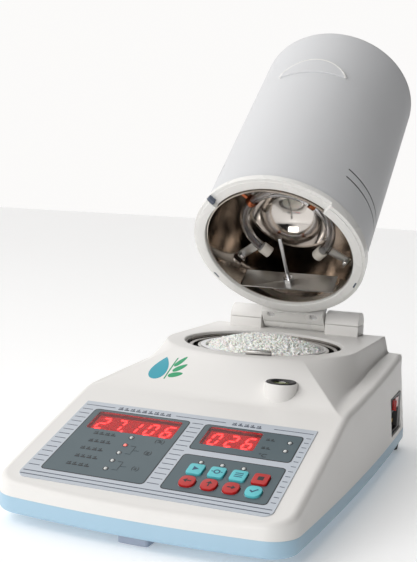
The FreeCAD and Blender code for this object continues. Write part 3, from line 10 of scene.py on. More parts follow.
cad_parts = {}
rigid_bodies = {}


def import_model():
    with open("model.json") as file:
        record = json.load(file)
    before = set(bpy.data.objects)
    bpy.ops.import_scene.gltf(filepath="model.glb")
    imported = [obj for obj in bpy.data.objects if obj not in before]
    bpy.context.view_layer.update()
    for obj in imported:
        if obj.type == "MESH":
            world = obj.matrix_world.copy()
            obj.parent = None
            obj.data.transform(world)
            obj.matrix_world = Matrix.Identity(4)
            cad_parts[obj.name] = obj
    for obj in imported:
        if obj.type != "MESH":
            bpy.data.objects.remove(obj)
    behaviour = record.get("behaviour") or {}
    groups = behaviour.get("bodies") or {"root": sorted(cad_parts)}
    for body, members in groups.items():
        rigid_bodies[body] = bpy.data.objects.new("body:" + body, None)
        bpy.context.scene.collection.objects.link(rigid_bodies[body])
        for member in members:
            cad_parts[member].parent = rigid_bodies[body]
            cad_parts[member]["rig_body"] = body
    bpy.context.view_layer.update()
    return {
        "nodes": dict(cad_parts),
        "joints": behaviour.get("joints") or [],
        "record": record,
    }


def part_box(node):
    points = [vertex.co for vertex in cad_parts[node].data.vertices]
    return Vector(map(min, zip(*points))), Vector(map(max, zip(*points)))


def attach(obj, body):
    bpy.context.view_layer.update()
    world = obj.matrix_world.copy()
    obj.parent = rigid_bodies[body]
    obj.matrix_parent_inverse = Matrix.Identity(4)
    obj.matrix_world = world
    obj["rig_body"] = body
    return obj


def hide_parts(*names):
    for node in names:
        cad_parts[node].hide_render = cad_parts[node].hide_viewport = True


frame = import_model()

# The scene works in millimetres, and make() turns them into metres.
MM = 0.001
NODES = frame["nodes"]
JOINTS = {joint["name"]: joint for joint in frame["joints"]}
rng = random.Random(11)


def low(node):
    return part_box(node)[0] / MM


def high(node):
    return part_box(node)[1] / MM


# ---- places read from the frame ---------------------------------------------------------------

HINGE = Vector(JOINTS["head_hinge"]["pos_m"]) / MM
OPEN = math.radians(JOINTS["head_hinge"]["range_deg"][1])
HEAD = Matrix.Translation(HINGE) @ Matrix.Rotation(-OPEN, 4, "X") @ Matrix.Translation(-HINGE)
PRESS = JOINTS["start_key_press"]["axis"]
SLOPE = math.atan2(PRESS[1], -PRESS[2])
FILM = 0.6
FILM_START = 6.5
FRONT = low("panel_overlay").y - FILM_START * math.cos(SLOPE) + FILM * math.sin(SLOPE)
LIP = low("panel_overlay").z - FILM_START * math.sin(SLOPE)
PANEL = Matrix.Translation((0, FRONT, LIP)) @ Matrix.Rotation(SLOPE, 4, "X")
SEAM = high("lower_shell").z
BACK = high("lower_shell").y
HINGE_RISE = 8.7
TOP = HINGE.z - HINGE_RISE
FACE = TOP + 1
PANEL_RUN = 122.4
DECK_BACK = 79.6
CREASE_Y = FRONT + PANEL_RUN
CREASE_Z = LIP + PANEL_RUN * math.tan(SLOPE)
DECK_RISE = (DECK_BACK - CREASE_Z) / (BACK - CREASE_Y)
PLATFORM = 77
RAMP_FOOT = 91
FLARE = 83
SHOULDER = 22
BOWL_FLOOR = low("chamber_bowl").z
RING_DEPTH = 10
RING_TOP = FACE + RING_DEPTH


# ---- materials --------------------------------------------------------------------------------

FINISH = {}


def srgb(colour):
    """A colour given as it looks on a screen, 0 to 255, as Blender's linear values."""
    shares = [channel / 255 for channel in colour]
    linear = [c / 12.92 if c <= 0.04045 else ((c + 0.055) / 1.055) ** 2.4 for c in shares]
    return (*linear, 1.0)


def noise(tree, mapping, scale, detail):
    """The output of a noise texture laid by a mapping."""
    node = tree.nodes.new("ShaderNodeTexNoise")
    node.inputs["Scale"].default_value = scale
    node.inputs["Detail"].default_value = detail
    tree.links.new(mapping.outputs["Vector"], node.inputs["Vector"])
    return node.outputs["Fac"]


def rescale(tree, source, given, wanted, easing="LINEAR"):
    """The output of a node that carries a value from the given range to the wanted one."""
    node = tree.nodes.new("ShaderNodeMapRange")
    node.interpolation_type = easing
    for socket, value in zip(("From Min", "From Max", "To Min", "To Max"), (*given, *wanted)):
        node.inputs[socket].default_value = value
    tree.links.new(source, node.inputs["Value"])
    return node.outputs["Result"]


def surface(name, colour, roughness, grain=700, bump=0.1, depth=0.00005, spread=0.05, shade=0.96,
            patches=30, stretch=(1, 1, 1), glow=None, glow_strength=1.0, **sockets):
    """A procedural finish: fine grain in the bump, and slow patches in the roughness and colour."""
    FINISH[name] = material = bpy.data.materials.new(name)
    material.use_nodes = True
    tree = material.node_tree
    shader = tree.nodes["Principled BSDF"]
    coordinates = tree.nodes.new("ShaderNodeTexCoord")
    mapping = tree.nodes.new("ShaderNodeMapping")
    mapping.inputs["Scale"].default_value = stretch
    tree.links.new(coordinates.outputs["Object"], mapping.inputs["Vector"])
    fine = noise(tree, mapping, grain, 4)
    slow = noise(tree, mapping, patches, 3)
    relief = tree.nodes.new("ShaderNodeBump")
    relief.inputs["Strength"].default_value = bump
    relief.inputs["Distance"].default_value = depth
    tree.links.new(fine, relief.inputs["Height"])
    tree.links.new(relief.outputs["Normal"], shader.inputs["Normal"])
    wear = rescale(tree, slow, (0.3, 0.7), (max(roughness - spread, 0.01), roughness + spread))
    tree.links.new(wear, shader.inputs["Roughness"])
    tone = tree.nodes.new("ShaderNodeMix")
    tone.data_type = "RGBA"
    tone.inputs["A"].default_value = tuple(c * shade for c in srgb(colour)[:3]) + (1.0,)
    tone.inputs["B"].default_value = srgb(colour)
    tree.links.new(slow, tone.inputs["Factor"])
    tree.links.new(tone.outputs["Result"], shader.inputs["Base Color"])
    if glow is not None:
        shader.inputs["Emission Color"].default_value = srgb(glow)
        shader.inputs["Emission Strength"].default_value = glow_strength
    for socket, number in sockets.items():
        shader.inputs[socket.replace("_", " ")].default_value = number
    return material


def metal(name, colour, roughness, **options):
    return surface(name, colour, roughness, Metallic=1.0, **options)


surface("shell_white", (234, 232, 229), 0.42, Coat_Weight=0.08, Coat_Roughness=0.3)
surface("shell_blue", (168, 200, 220), 0.4, Coat_Weight=0.08, Coat_Roughness=0.3)
surface("head_grey", (210, 211, 213), 0.5, grain=900, bump=0.14)
surface("ring_white", (232, 231, 228), 0.28, grain=500, Coat_Weight=0.2)
metal("liner_steel", (196, 186, 176), 0.14, grain=260, bump=0.2, depth=0.0004,
      spread=0.07, shade=0.82, patches=45, stretch=(1, 1, 0.25))
metal("dome_steel", (214, 208, 202), 0.1, grain=120, bump=0.16, depth=0.0004,
      spread=0.05, shade=0.85)
metal("bowl_steel", (176, 172, 168), 0.24, grain=350, bump=0.15, spread=0.08)
metal("pan_aluminium", (222, 222, 224), 0.22, grain=500, bump=0.12)
metal("carrier_steel", (190, 188, 184), 0.3, grain=420, bump=0.2,
      stretch=(0.1, 1, 1))
surface("quartz", (244, 246, 250), 0.03, grain=90, bump=0.05, spread=0.015,
        Transmission_Weight=1.0, IOR=1.46)
metal("filament", (150, 140, 132), 0.35, grain=900, bump=0.1)
surface("ceramic", (206, 200, 190), 0.5, grain=600, bump=0.2)
metal("copper", (172, 98, 66), 0.22, grain=300, bump=0.15, shade=0.8)
metal("screw_steel", (226, 226, 228), 0.14, grain=500, bump=0.1)
surface("wool", (226, 220, 204), 0.95, grain=500, bump=0.9, depth=0.0006, shade=0.85)
surface("overlay", (192, 199, 208), 0.34, grain=1200, bump=0.08, shade=0.98)
surface("window_red", (255, 74, 78), 0.06, grain=60, bump=0.0, spread=0.015,
        Transmission_Weight=0.95, IOR=1.3)
# The display's dark field carries a faint red emission: painted glow for the bright red of the windows, where
# only the lit segments give light.
surface("display_dark", (150, 26, 24), 0.5, glow=(190, 4, 10), glow_strength=0.4)
surface("led_clear", (214, 216, 214), 0.2, grain=300, Coat_Weight=0.5)
surface("key_cyan", (96, 200, 208), 0.38, grain=1000, bump=0.1)
surface("key_red", (190, 26, 24), 0.36, grain=1000, bump=0.1)
surface("board_green", (22, 92, 54), 0.4, grain=400, Coat_Weight=0.4)
surface("part_black", (34, 34, 36), 0.42, grain=700, bump=0.15)
metal("core_steel", (92, 92, 98), 0.45, grain=900, stretch=(1, 1, 6))
surface("winding", (190, 140, 60), 0.5, grain=600, bump=0.3, stretch=(1, 1, 5))
metal("cell_aluminium", (190, 192, 196), 0.34, grain=500, stretch=(8, 1, 1))
surface("rubber_foot", (36, 36, 38), 0.7, grain=500, bump=0.3)
surface("foot_grey", (168, 176, 192), 0.5, grain=600, bump=0.2)
surface("vial_glass", (206, 226, 120), 0.04, spread=0.015, bump=0.02,
        Transmission_Weight=0.7, IOR=1.4)
surface("rocker_red", (186, 24, 20), 0.25, grain=500, Coat_Weight=0.4)
metal("blade_brass", (206, 176, 110), 0.25, grain=300)
metal("port_metal", (196, 196, 192), 0.25, grain=300)
surface("grain", (253, 252, 247), 0.6, grain=900, bump=0.2, depth=0.0001, shade=0.93,
        patches=260, Subsurface_Weight=0.15, Subsurface_Scale=0.001)
surface("field", (76, 94, 101), 0.38, grain=1200, bump=0.08)
surface("ink", (26, 30, 36), 0.45, grain=1200, bump=0.05)
surface("ink_grey", (84, 92, 106), 0.45, grain=1200, bump=0.05)
surface("ink_blue", (24, 78, 110), 0.4, grain=1200, bump=0.05)
# Unlit segments with a faint red emission: painted glow, since unlit segments give no light.
surface("unlit_segment_painted_glow", (96, 20, 20), 0.5, glow=(196, 6, 12), glow_strength=0.45)
surface("mark_white", (238, 240, 240), 0.4, grain=1200, bump=0.05)
surface("mark_teal", (36, 158, 178), 0.35, grain=900, bump=0.05)
surface("mark_green", (34, 156, 104), 0.35, grain=900, bump=0.05)
surface("lit_digit", (255, 120, 96), 0.4, glow=(255, 170, 160), glow_strength=4.5)
surface("lit_lamp", (236, 150, 140), 0.25, glow=(255, 60, 50), glow_strength=0.5)
# A near-black finish for painted shade: strips behind the vent slots that darken them where only shade would.
surface("painted_slot_shade", (30, 30, 32), 0.7, grain=500, bump=0.2)


# ---- mesh helpers -----------------------------------------------------------------------------

def settle(piece, finish, body, replaces=(), sharp=34):
    """Smooth shading with crisp edges, a finish, and the body that the piece rides on."""
    mesh = piece.data
    mesh.shade_smooth()
    mesh.set_sharp_from_angle(angle=math.radians(sharp))
    mesh.materials.clear()
    mesh.materials.append(FINISH[finish])
    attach(piece, body)
    if replaces:
        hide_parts(*replaces)
    return piece


def add_object(name, data):
    thing = bpy.data.objects.new(name, data)
    bpy.context.scene.collection.objects.link(thing)
    return thing


def final_mesh(thing):
    """A new mesh with what an object's modifiers or curve settings make of it."""
    bpy.context.view_layer.update()
    graph = bpy.context.evaluated_depsgraph_get()
    return bpy.data.meshes.new_from_object(thing.evaluated_get(graph))


def bake(piece):
    """Applies a piece's modifiers."""
    mesh = final_mesh(piece)
    piece.modifiers.clear()
    piece.data = mesh
    mesh.name = piece.name
    return piece


def make(name, points, faces, finish, body, pose=None, bevel=0.0, steps=2, shell=0.0, closed=True,
         sharp=34, slot=None, replaces=()):
    """A mesh piece from points in millimetres, its sharp edges rounded by the bevel.

    A shell thickens a skin on the side its faces turn away from, or on their own side when it is
    negative. An open skin, with closed=False, keeps the way its faces point.
    """
    mesh = bpy.data.meshes.new(name)
    mesh.from_pydata([tuple(p) for p in points], [], [tuple(f) for f in faces])
    if pose is not None:
        mesh.transform(pose)
    mesh.transform(Matrix.Scale(MM, 4))
    work = bmesh.new()
    work.from_mesh(mesh)
    bmesh.ops.remove_doubles(work, verts=work.verts, dist=1e-7)
    if closed:
        bmesh.ops.recalc_face_normals(work, faces=work.faces)
    work.to_mesh(mesh)
    work.free()
    piece = add_object(name, mesh)
    if shell:
        thick = piece.modifiers.new("Shell", "SOLIDIFY")
        thick.thickness = shell * MM
        thick.offset = -1
    if bevel:
        round_edges(piece, bevel, steps)
    if shell or bevel:
        bake(piece)
    return settle(piece, finish, body, replaces, sharp)


def round_edges(piece, width, steps):
    edge = piece.modifiers.new("Edges", "BEVEL")
    edge.width = width * MM
    edge.segments = steps
    edge.limit_method = "ANGLE"
    edge.angle_limit = math.radians(32)
    edge.use_clamp_overlap = True


def soften(node, finish, width=0.25, steps=2):
    """A copy of a CAD node with its edges rounded, which stands for the node."""
    mesh = NODES[node].data.copy()
    work = bmesh.new()
    work.from_mesh(mesh)
    bmesh.ops.remove_doubles(work, verts=work.verts, dist=1e-6)
    bmesh.ops.dissolve_limit(work, angle_limit=math.radians(0.6), verts=work.verts, edges=work.edges)
    work.to_mesh(mesh)
    work.free()
    piece = add_object(node + "_finished", mesh)
    round_edges(piece, width, steps)
    bake(piece)
    return settle(piece, finish, NODES[node]["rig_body"], (node,))


def fillet(points, radii, steps=5, closed=True):
    """A flat outline with each corner rounded. radii is one number, or one for each corner."""
    count = len(points)
    radii = [radii] * count if isinstance(radii, (int, float)) else radii
    result = []
    for index, (point, radius) in enumerate(zip(points, radii)):
        here = Vector(point)
        ends = not closed and index in (0, count - 1)
        if radius <= 0 or ends:
            result.append((here.x, here.y))
            continue
        before = Vector(points[index - 1]) - here
        after = Vector(points[(index + 1) % count]) - here
        half = before.angle(after) / 2
        reach = min(radius / math.tan(half), before.length * 0.48, after.length * 0.48)
        start = here + before.normalized() * reach
        end = here + after.normalized() * reach
        for step in range(steps + 1):
            t = step / steps
            bend = start * (1 - t) ** 2 + here * 2 * t * (1 - t) + end * t * t
            result.append((bend.x, bend.y))
    return result


def rectangle(x0, x1, y0, y1, radius=0.0, steps=5):
    corners = [(x0, y0), (x1, y0), (x1, y1), (x0, y1)]
    return fillet(corners, radius, steps) if radius else corners


def raised(outline, level):
    """An outline whose heights are given from a level."""
    return [(across, level + up) for across, up in outline]


def circle(x, y, radius, count=32):
    turn = 2 * math.pi / count
    return [(x + radius * math.cos(i * turn), y + radius * math.sin(i * turn)) for i in range(count)]


def lathe(name, outline, finish, body, count=128, start=0.0, sweep=360.0, centre=(0.0, 0.0), **options):
    """A closed outline of (radius, height) turned about an upright axis."""
    full = sweep >= 360
    columns = count if full else count + 1
    points = []
    for column in range(columns):
        angle = math.radians(start + sweep * column / count)
        for radius, height in outline:
            x, y = centre[0] + radius * math.cos(angle), centre[1] + radius * math.sin(angle)
            points.append((x, y, height))
    size = len(outline)
    faces = []
    for column in range(count):
        here, after = column * size, (column + 1) % columns * size
        for row in range(size):
            following = (row + 1) % size
            faces.append((here + row, after + row, after + following, here + following))
    if not full:
        faces.append(tuple(range(size)))
        faces.append(tuple(range(count * size, count * size + size)))
    return make(name, points, faces, finish, body, **options)


AXIS_ORDER = {"X": (2, 0, 1), "Y": (0, 2, 1), "Z": (0, 1, 2)}


def prism(name, outline, start, end, finish, body, axis="Z", **options):
    """A flat outline drawn out between two places along an axis."""
    order = AXIS_ORDER[axis]
    size = len(outline)
    points = []
    for level in (start, end):
        for across, up in outline:
            values = (across, up, level)
            points.append(tuple(values[i] for i in order))
    faces = [tuple(range(size)), tuple(range(size, 2 * size))]
    faces += [(i, (i + 1) % size, (i + 1) % size + size, i + size) for i in range(size)]
    return make(name, points, faces, finish, body, **options)


def from_curve(name, curve, finish, body, replaces=(), placing=None):
    """A piece with a curve's mesh. The curve's own object is thrown away."""
    scrap = add_object(name + "_curve", curve)
    mesh = final_mesh(scrap)
    bpy.data.objects.remove(scrap)
    if placing is not None:
        mesh.transform(placing)
    return settle(add_object(name, mesh), finish, body, replaces)


def graphic(name, loops, bottom, top, finish, body="base", pose=PANEL, slot="overlay"):
    """Flat printed or moulded shapes with holes, from loops of (x, y), between two heights."""
    curve = bpy.data.curves.new(name, "CURVE")
    curve.dimensions = "2D"
    curve.fill_mode = "BOTH"
    curve.extrude = (top - bottom) / 2
    for loop in loops:
        spline = curve.splines.new("POLY")
        spline.points.add(len(loop) - 1)
        for point, (x, y) in zip(spline.points, loop):
            point.co = (x, y, 0, 1)
        spline.use_cyclic_u = True
    placing = Matrix.Scale(MM, 4) @ pose @ Matrix.Translation((0, 0, (top + bottom) / 2))
    return from_curve(name, curve, finish, body, placing=placing)


def wire(name, path, radius, finish, body, pose, replaces=()):
    """A round wire along a smooth line of points."""
    curve = bpy.data.curves.new(name, "CURVE")
    curve.dimensions = "3D"
    curve.bevel_depth = radius * MM
    curve.bevel_resolution = 3
    curve.use_fill_caps = True
    spline = curve.splines.new("POLY")
    spline.points.add(len(path) - 1)
    for point, place in zip(spline.points, path):
        point.co = (*(pose @ Vector(place) * MM), 1)
    return from_curve(name, curve, finish, body, replaces)


def grid(name, rows, finish, body, skip=None, **options):
    """Rings of points joined into a skin. skip says which quads are left out for openings."""
    rows = np.asarray(rows, float)
    count, columns = rows.shape[:2]
    faces = []
    for i in range(count - 1):
        for j in range(columns):
            k = (j + 1) % columns
            if skip is not None and skip(i, j, (rows[i, j] + rows[i + 1, k]) / 2):
                continue
            faces.append((i * columns + j, (i + 1) * columns + j, (i + 1) * columns + k, i * columns + k))
    return make(name, rows.reshape(-1, 3), faces, finish, body, closed=False, **options)


# ---- housing ----------------------------------------------------------------------------------

def convex_hull(points):
    points = sorted(set(map(tuple, np.round(points, 4))))

    def half(sequence):
        chain = []
        for p in sequence:
            while len(chain) > 1:
                (ax, ay), (bx, by) = chain[-2], chain[-1]
                if (bx - ax) * (p[1] - ay) - (by - ay) * (p[0] - ax) > 0:
                    break
                chain.pop()
            chain.append(p)
        return chain[:-1]
    return half(points) + half(points[::-1])


def seam_outline(count):
    """The housing's outline at the seam, evenly spaced and counterclockwise, with its outward normals."""
    places = np.array([v.co for v in NODES["lower_shell"].data.vertices]) / MM
    hull = np.array(convex_hull(places[places[:, 2] > SEAM - 0.1][:, :2]))
    loop = np.vstack([hull, hull[:1]])
    steps = np.hypot(*np.diff(loop, axis=0).T)
    travel = np.concatenate([[0], np.cumsum(steps)])
    spots = np.linspace(0, travel[-1], count, endpoint=False)
    outline = np.stack([np.interp(spots, travel, loop[:, i]) for i in (0, 1)], 1)
    for _ in range(3):
        outline = (np.roll(outline, 1, 0) + 2 * outline + np.roll(outline, -1, 0)) / 4
    outline[:, 1] = np.where(outline[:, 1] > BACK - 0.4, BACK, outline[:, 1])
    along = np.roll(outline, -1, 0) - np.roll(outline, 1, 0)
    along /= np.hypot(*along.T)[:, None]
    return outline, np.stack([along[:, 1], -along[:, 0]], 1)


def snap(outline, axis, target, near):
    """Moves the outline's point nearest to a place exactly onto it, and returns its number."""
    gaps = np.abs(outline[:, axis] - target) + 1000 * (~near)
    index = int(np.argmin(gaps))
    outline[index, axis] = target
    return index


def smooth_min(a, b, k):
    h = np.maximum(k - np.abs(a - b), 0) / k
    return np.minimum(a, b) - h * h * k / 4


def smooth_max(a, b, k):
    return -smooth_min(-a, -b, k)


def top_height(x, y):
    """The height of the housing's top: the sloping panel, the decks, and the platform with its ramp."""
    x, y = np.asarray(x, float), np.asarray(y, float)
    panel = LIP + (y - FRONT) * math.tan(SLOPE)
    deck = CREASE_Z + (y - CREASE_Y) * DECK_RISE
    base = smooth_min(panel, deck, 2.2)
    reach = np.hypot(x, y)
    across = np.maximum(np.abs(x) / reach, 1e-6)
    along = y / reach
    rim = np.where(y <= 0, PLATFORM, PLATFORM / across)
    lean = (RAMP_FOOT - FLARE) / (SHOULDER - CREASE_Y)
    side = (RAMP_FOOT + lean * CREASE_Y) / np.maximum(across + lean * along, 1e-6)
    foot = np.where(side * along > SHOULDER, FLARE / across, side)
    ahead = np.where(along < 0, CREASE_Y / np.minimum(along, -1e-6), 1e6)
    foot = np.where((along < 0) & (ahead * across <= RAMP_FOOT), ahead, foot)
    share = (reach - rim) / (foot - rim)
    ramp = TOP - (TOP - CREASE_Z + 0.5) * share
    return smooth_max(base, smooth_min(ramp, TOP, 1.6), 2.4)


outline, normals = seam_outline(660)
inlet_low, inlet_high = low("power_inlet"), high("power_inlet")
port_low, port_high = low("data_port"), high("data_port")
on_right = outline[:, 0] > 80
at_back = (outline[:, 1] > BACK - 1) & (np.abs(outline[:, 0]) < 90)
# How far each opening stands clear of what fills it, on every side.
INLET_GAP = 0.3
PORT_GAP = 0.2
inlet_columns = [snap(outline, 1, y, on_right) for y in (inlet_low.y - INLET_GAP, inlet_high.y + INLET_GAP)]
port_columns = sorted(snap(outline, 0, x, at_back) for x in (port_low.x - PORT_GAP, port_high.x + PORT_GAP))

# The walls lean in and the top edge is well rounded, except along the back. Where the edge falls
# depends on its own height, so the two are worked out in turn until they settle.
LEAN = math.radians(5)
BACK_ROUND, OTHER_ROUND = 1.6, 4.5
off_back = np.clip((0.97 - normals[:, 1]) / 0.3, 0, 1)
lean = LEAN * off_back
rim_size = BACK_ROUND + (OTHER_ROUND - BACK_ROUND) * off_back
edge_z = np.full(len(outline), 60.0)
for _ in range(6):
    drift = (edge_z - SEAM) * np.tan(lean)
    brink = outline - normals * (drift + rim_size * np.cos(lean))[:, None]
    edge_z = top_height(*brink.T) - rim_size * (1 - np.sin(lean))
bearing = np.arctan2(brink[:, 1], brink[:, 0])
ray = np.stack([np.cos(bearing), np.sin(bearing)], 1)


def ring_at(radius, height):
    return np.column_stack([ray * radius, np.full(len(ray), height)])


CHAMBER = high("chamber_bowl").x
HOLE = CHAMBER + 0.15
LIP_ROUND = 1.4
rows = [ring_at(HOLE, TOP - 10), ring_at(HOLE, TOP - LIP_ROUND)]
for step in range(1, 6):
    angle = math.radians(18 * step)
    radius = HOLE + LIP_ROUND * (1 - math.cos(angle))
    rows.append(ring_at(radius, TOP - LIP_ROUND * (1 - math.sin(angle))))
hole_edge = ray * (HOLE + LIP_ROUND)
TOP_RINGS = 150
for step in range(1, TOP_RINGS + 1):
    spot = hole_edge + (brink - hole_edge) * step / TOP_RINGS
    rows.append(np.column_stack([spot, top_height(*spot.T)]))
for step in range(1, 7):
    angle = (math.pi / 2 - lean) * step / 6
    spot = brink + normals * (rim_size * np.sin(angle))[:, None]
    rows.append(np.column_stack([spot, top_height(*brink.T) - rim_size * (1 - np.cos(angle))]))
wall_heights = [54, inlet_high.z + INLET_GAP, port_high.z + PORT_GAP, 39, port_low.z - PORT_GAP, 27,
                inlet_low.z - INLET_GAP, SEAM + 0.12]
TALL = 56.0
end_z = rows[-1][:, 2]
first_wall_row = len(rows) - 1
for height in wall_heights:
    share = np.minimum((end_z - SEAM) / (TALL - SEAM), 1)
    z = SEAM + (height - SEAM) * share
    spot = outline - normals * ((z - SEAM) * np.tan(lean))[:, None]
    rows.append(np.column_stack([spot, z]))

main_window = (low("main_display_window").x, high("main_display_window").x)
small_window = (low("temperature_window").x, high("temperature_window").x)
WINDOW_RISE = (69.7, 91.7)
KEY_BLOCK = (low("start_key").x - 1.2, high("stop_key").x + 1.2, 19.2, 47.6)


def shell_opening(i, j, middle):
    """Where the upper shell is left open: the windows, the keys, the power inlet and the data port."""
    if first_wall_row < i < len(rows):
        z = (rows[i][j, 2] + rows[i + 1][j, 2]) / 2
        if inlet_columns[0] <= j < inlet_columns[1]:
            return inlet_low.z - INLET_GAP < z < inlet_high.z + INLET_GAP
        return port_columns[0] <= j < port_columns[1] and port_low.z - PORT_GAP < z < port_high.z + PORT_GAP
    if middle[1] > CREASE_Y or i < 8:
        return False
    rise = (middle[1] - FRONT) / math.cos(SLOPE)
    for left, right in (main_window, small_window):
        if left - 1 < middle[0] < right + 1 and WINDOW_RISE[0] - 1 < rise < WINDOW_RISE[1] + 1:
            return True
    return KEY_BLOCK[0] < middle[0] < KEY_BLOCK[1] and KEY_BLOCK[2] < rise < KEY_BLOCK[3]


grid("upper_case", rows, "shell_white", "base", skip=shell_opening, shell=2.0,
     replaces=("upper_shell",), sharp=50)
soften("lower_shell", "shell_blue", 0.3)
soften("front_foot", "foot_grey", 0.5)
for node in ("left_rear_foot", "right_rear_foot"):
    soften(node, "rubber_foot", 0.5)

EAR_ROUND = high("hinge_caps").z - HINGE.z
EAR_WIDTH = 29.1
EAR_INNER = low("hinge_caps").x + EAR_WIDTH
EAR_BACK, EAR_FRONT = HINGE.y + EAR_ROUND, HINGE.y - EAR_ROUND
CAP_GAP = 0.12
ear_edges = {"bevel": 0.5, "steps": 3}
ear_post = rectangle(EAR_FRONT, EAR_BACK, TOP - 2, HINGE.z - CAP_GAP)
ear_dome = [(EAR_FRONT, HINGE.z + CAP_GAP), (EAR_BACK, HINGE.z + CAP_GAP)]
for step in range(1, 32):
    angle = math.pi * step / 32
    ear_dome.append((HINGE.y + EAR_ROUND * math.cos(angle), HINGE.z + EAR_ROUND * math.sin(angle)))
for side, label in ((-1, "left"), (1, "right")):
    left, right = sorted((side * high("hinge_caps").x, side * -EAR_INNER))
    prism(label + "_ear", ear_post, left, right, "shell_white", "base", "X", **ear_edges)
    prism(label + "_ear_cap", ear_dome, left, right, "shell_white", "base", "X",
          replaces=("hinge_caps",) if side > 0 else (), **ear_edges)

LEVEL = (low("level_vial") + high("level_vial")) / 2
LEVEL_TOP = high("level_vial").z
VIAL = high("level_vial").x - LEVEL.x
BOSS = 11.6
at_level = (LEVEL.x, LEVEL.y)
# The outlines of the level's parts have their heights from its top.
boss = [(VIAL + 2.2, -18), (BOSS, -18), (BOSS, 0), (BOSS - 0.9, 0), (BOSS - 0.9, -0.5), (VIAL + 2.2, -0.5)]
lathe("level_boss", fillet(raised(boss, LEVEL_TOP), [0, 0, 0.7, 0.3, 0, 0]), "shell_white", "base", 96,
      centre=at_level)
bezel = [(VIAL + 0.1, -7), (VIAL + 1.9, -7), (VIAL + 1.9, -0.2), (BOSS - 1.1, -0.2), (BOSS - 1.1, 0.6),
         (VIAL + 1.6, 0.75), (VIAL + 0.1, -0.6)]
lathe("level_ring", fillet(raised(bezel, LEVEL_TOP), [0, 0, 0, 0.2, 0.3, 0.5, 0.4]), "part_black", "base", 96,
      centre=at_level, replaces=("level_bezel",))
vial = [(0, -6.6), (VIAL, -6.6), (VIAL, -1.1), (VIAL * 0.6, -0.75), (0, -0.6)]
lathe("level_glass", fillet(raised(vial, LEVEL_TOP), [0, 0.4, 0.5, 2, 0]), "vial_glass", "base", 64,
      centre=at_level, replaces=("level_vial",))
bubble = [(0, -2.4), (2.0, -1.8), (2.2, -1.4), (0, -1.0)]
lathe("level_bubble", fillet(raised(bubble, LEVEL_TOP), [0, 0.5, 0.4, 0]), "mark_white", "base", 48,
      centre=(LEVEL.x - 0.8, LEVEL.y + 0.5), slot="vial_glass")
mark = rectangle(3.0, 3.25, LEVEL_TOP - 0.62, LEVEL_TOP - 0.55)
lathe("level_mark", mark, "ink", "base", 64, centre=at_level, slot="part_black")


# ---- control panel ----------------------------------------------------------------------------

PRINT = (FILM + 0.02, FILM + 0.12)
WINDOWS = [main_window, small_window]
window_holes = [rectangle(left - 0.1, right + 0.1, *WINDOW_RISE, 2.0) for left, right in WINDOWS]


def panel_box(node):
    """A CAD node's bounds in the panel's own frame: x, rise and height."""
    turn = np.array(PANEL.inverted())
    places = np.array([v.co for v in NODES[node].data.vertices]) / MM
    local = places @ turn[:3, :3].T + turn[:3, 3]
    return local.min(0), local.max(0)


KEYS = {name: panel_box(name) for name in ("start_key", "tare_key", "display_key", "stop_key",
                                           "left_key", "up_key", "right_key", "enter_key")}
KEY_TOP = 2.1
KEY_HALF_WIDTH, KEY_HALF_LENGTH = 5.1, 5.4
SQUARE_CORNER, ROUND_CORNER = 2.2, 4.8
SQUARE = ("start_key", "tare_key", "display_key", "stop_key")


def key_spot(name):
    lowest, highest = KEYS[name]
    return (lowest[0] + highest[0]) / 2, (lowest[1] + highest[1]) / 2


def key_outline(name, grow):
    x, y = key_spot(name)
    radius = SQUARE_CORNER if name in SQUARE else ROUND_CORNER
    return rectangle(x - KEY_HALF_WIDTH - grow, x + KEY_HALF_WIDTH + grow,
                     y - KEY_HALF_LENGTH - grow, y + KEY_HALF_LENGTH + grow, radius + grow / 2, 8)


LIST_STEP = 9.4
LIST_LAMPS = [(-31.4, 27.3 + LIST_STEP * line) for line in range(5)]
HEAT_LAMPS = [(71, 74.7 + 9.9 * line) for line in range(2)]
KEY_LAMPS = [(key_spot(name)[0], key_spot(name)[1] + 9) for name in SQUARE[:3]]
lamp_holes = {name: [circle(x, y, 1.5) for x, y in spots]
              for name, spots in (("list", LIST_LAMPS), ("heat", HEAT_LAMPS), ("key", KEY_LAMPS))}

FIELDS = {
    "display_field": ((-73, -1, 17, 94.6), [window_holes[0]] + lamp_holes["list"]),
    "heat_field": ((9.7, 78, 62.4, 94), [window_holes[1]] + lamp_holes["heat"]),
    "key_field": ((9.7, 78, 16.4, 56.4), [key_outline(name, 0.4) for name in KEYS] + lamp_holes["key"]),
}
for name, (extent, holes) in FIELDS.items():
    edge = rectangle(*extent, 3.4)
    inner = rectangle(extent[0] + 0.7, extent[1] - 0.7, extent[2] + 0.7, extent[3] - 0.7, 2.8)
    graphic(name, [inner] + holes, *PRINT, "field")
    graphic(name + "_outline", [edge, inner], *PRINT, "ink")


def bar(x0, x1, y, width=0.4):
    return rectangle(x0, x1, y - width / 2, y + width / 2)


EDGE = 82.5
FINE, BOLD = 0.55, 0.7
BESIDE_FIELDS = ((-EDGE, -74.6), (0.4, 8.3), (79.4, EDGE))
BESIDE_CAPTIONS = ((-EDGE, -60), (-14, 22), (56, EDGE))
stripes = [bar(*ends, 20 + 5.6 * line, FINE) for line in range(14) for ends in BESIDE_FIELDS]
stripes += [bar(-EDGE, EDGE, rise, BOLD) for rise in (9.4, 13.2)]
stripes += [bar(*ends, 98.6, FINE) for ends in BESIDE_CAPTIONS]
graphic("panel_lines", stripes, *PRINT, "ink_grey")


def blocks(x, y, count, size):
    """A row of small signs, each of three plain bars, that stands in for a printed caption."""
    loops = []
    for number in range(count):
        left = x + number * size * 1.25
        stem = left + size * (0.3 if number % 2 else 0.5)
        loops.append(rectangle(left, left + size, y, y + size * 0.34))
        loops.append(rectangle(stem, stem + size * 0.24, y + size * 0.44, y + size))
        loops.append(rectangle(left, stem - size * 0.08, y + size * 0.6, y + size * 0.82))
    return loops


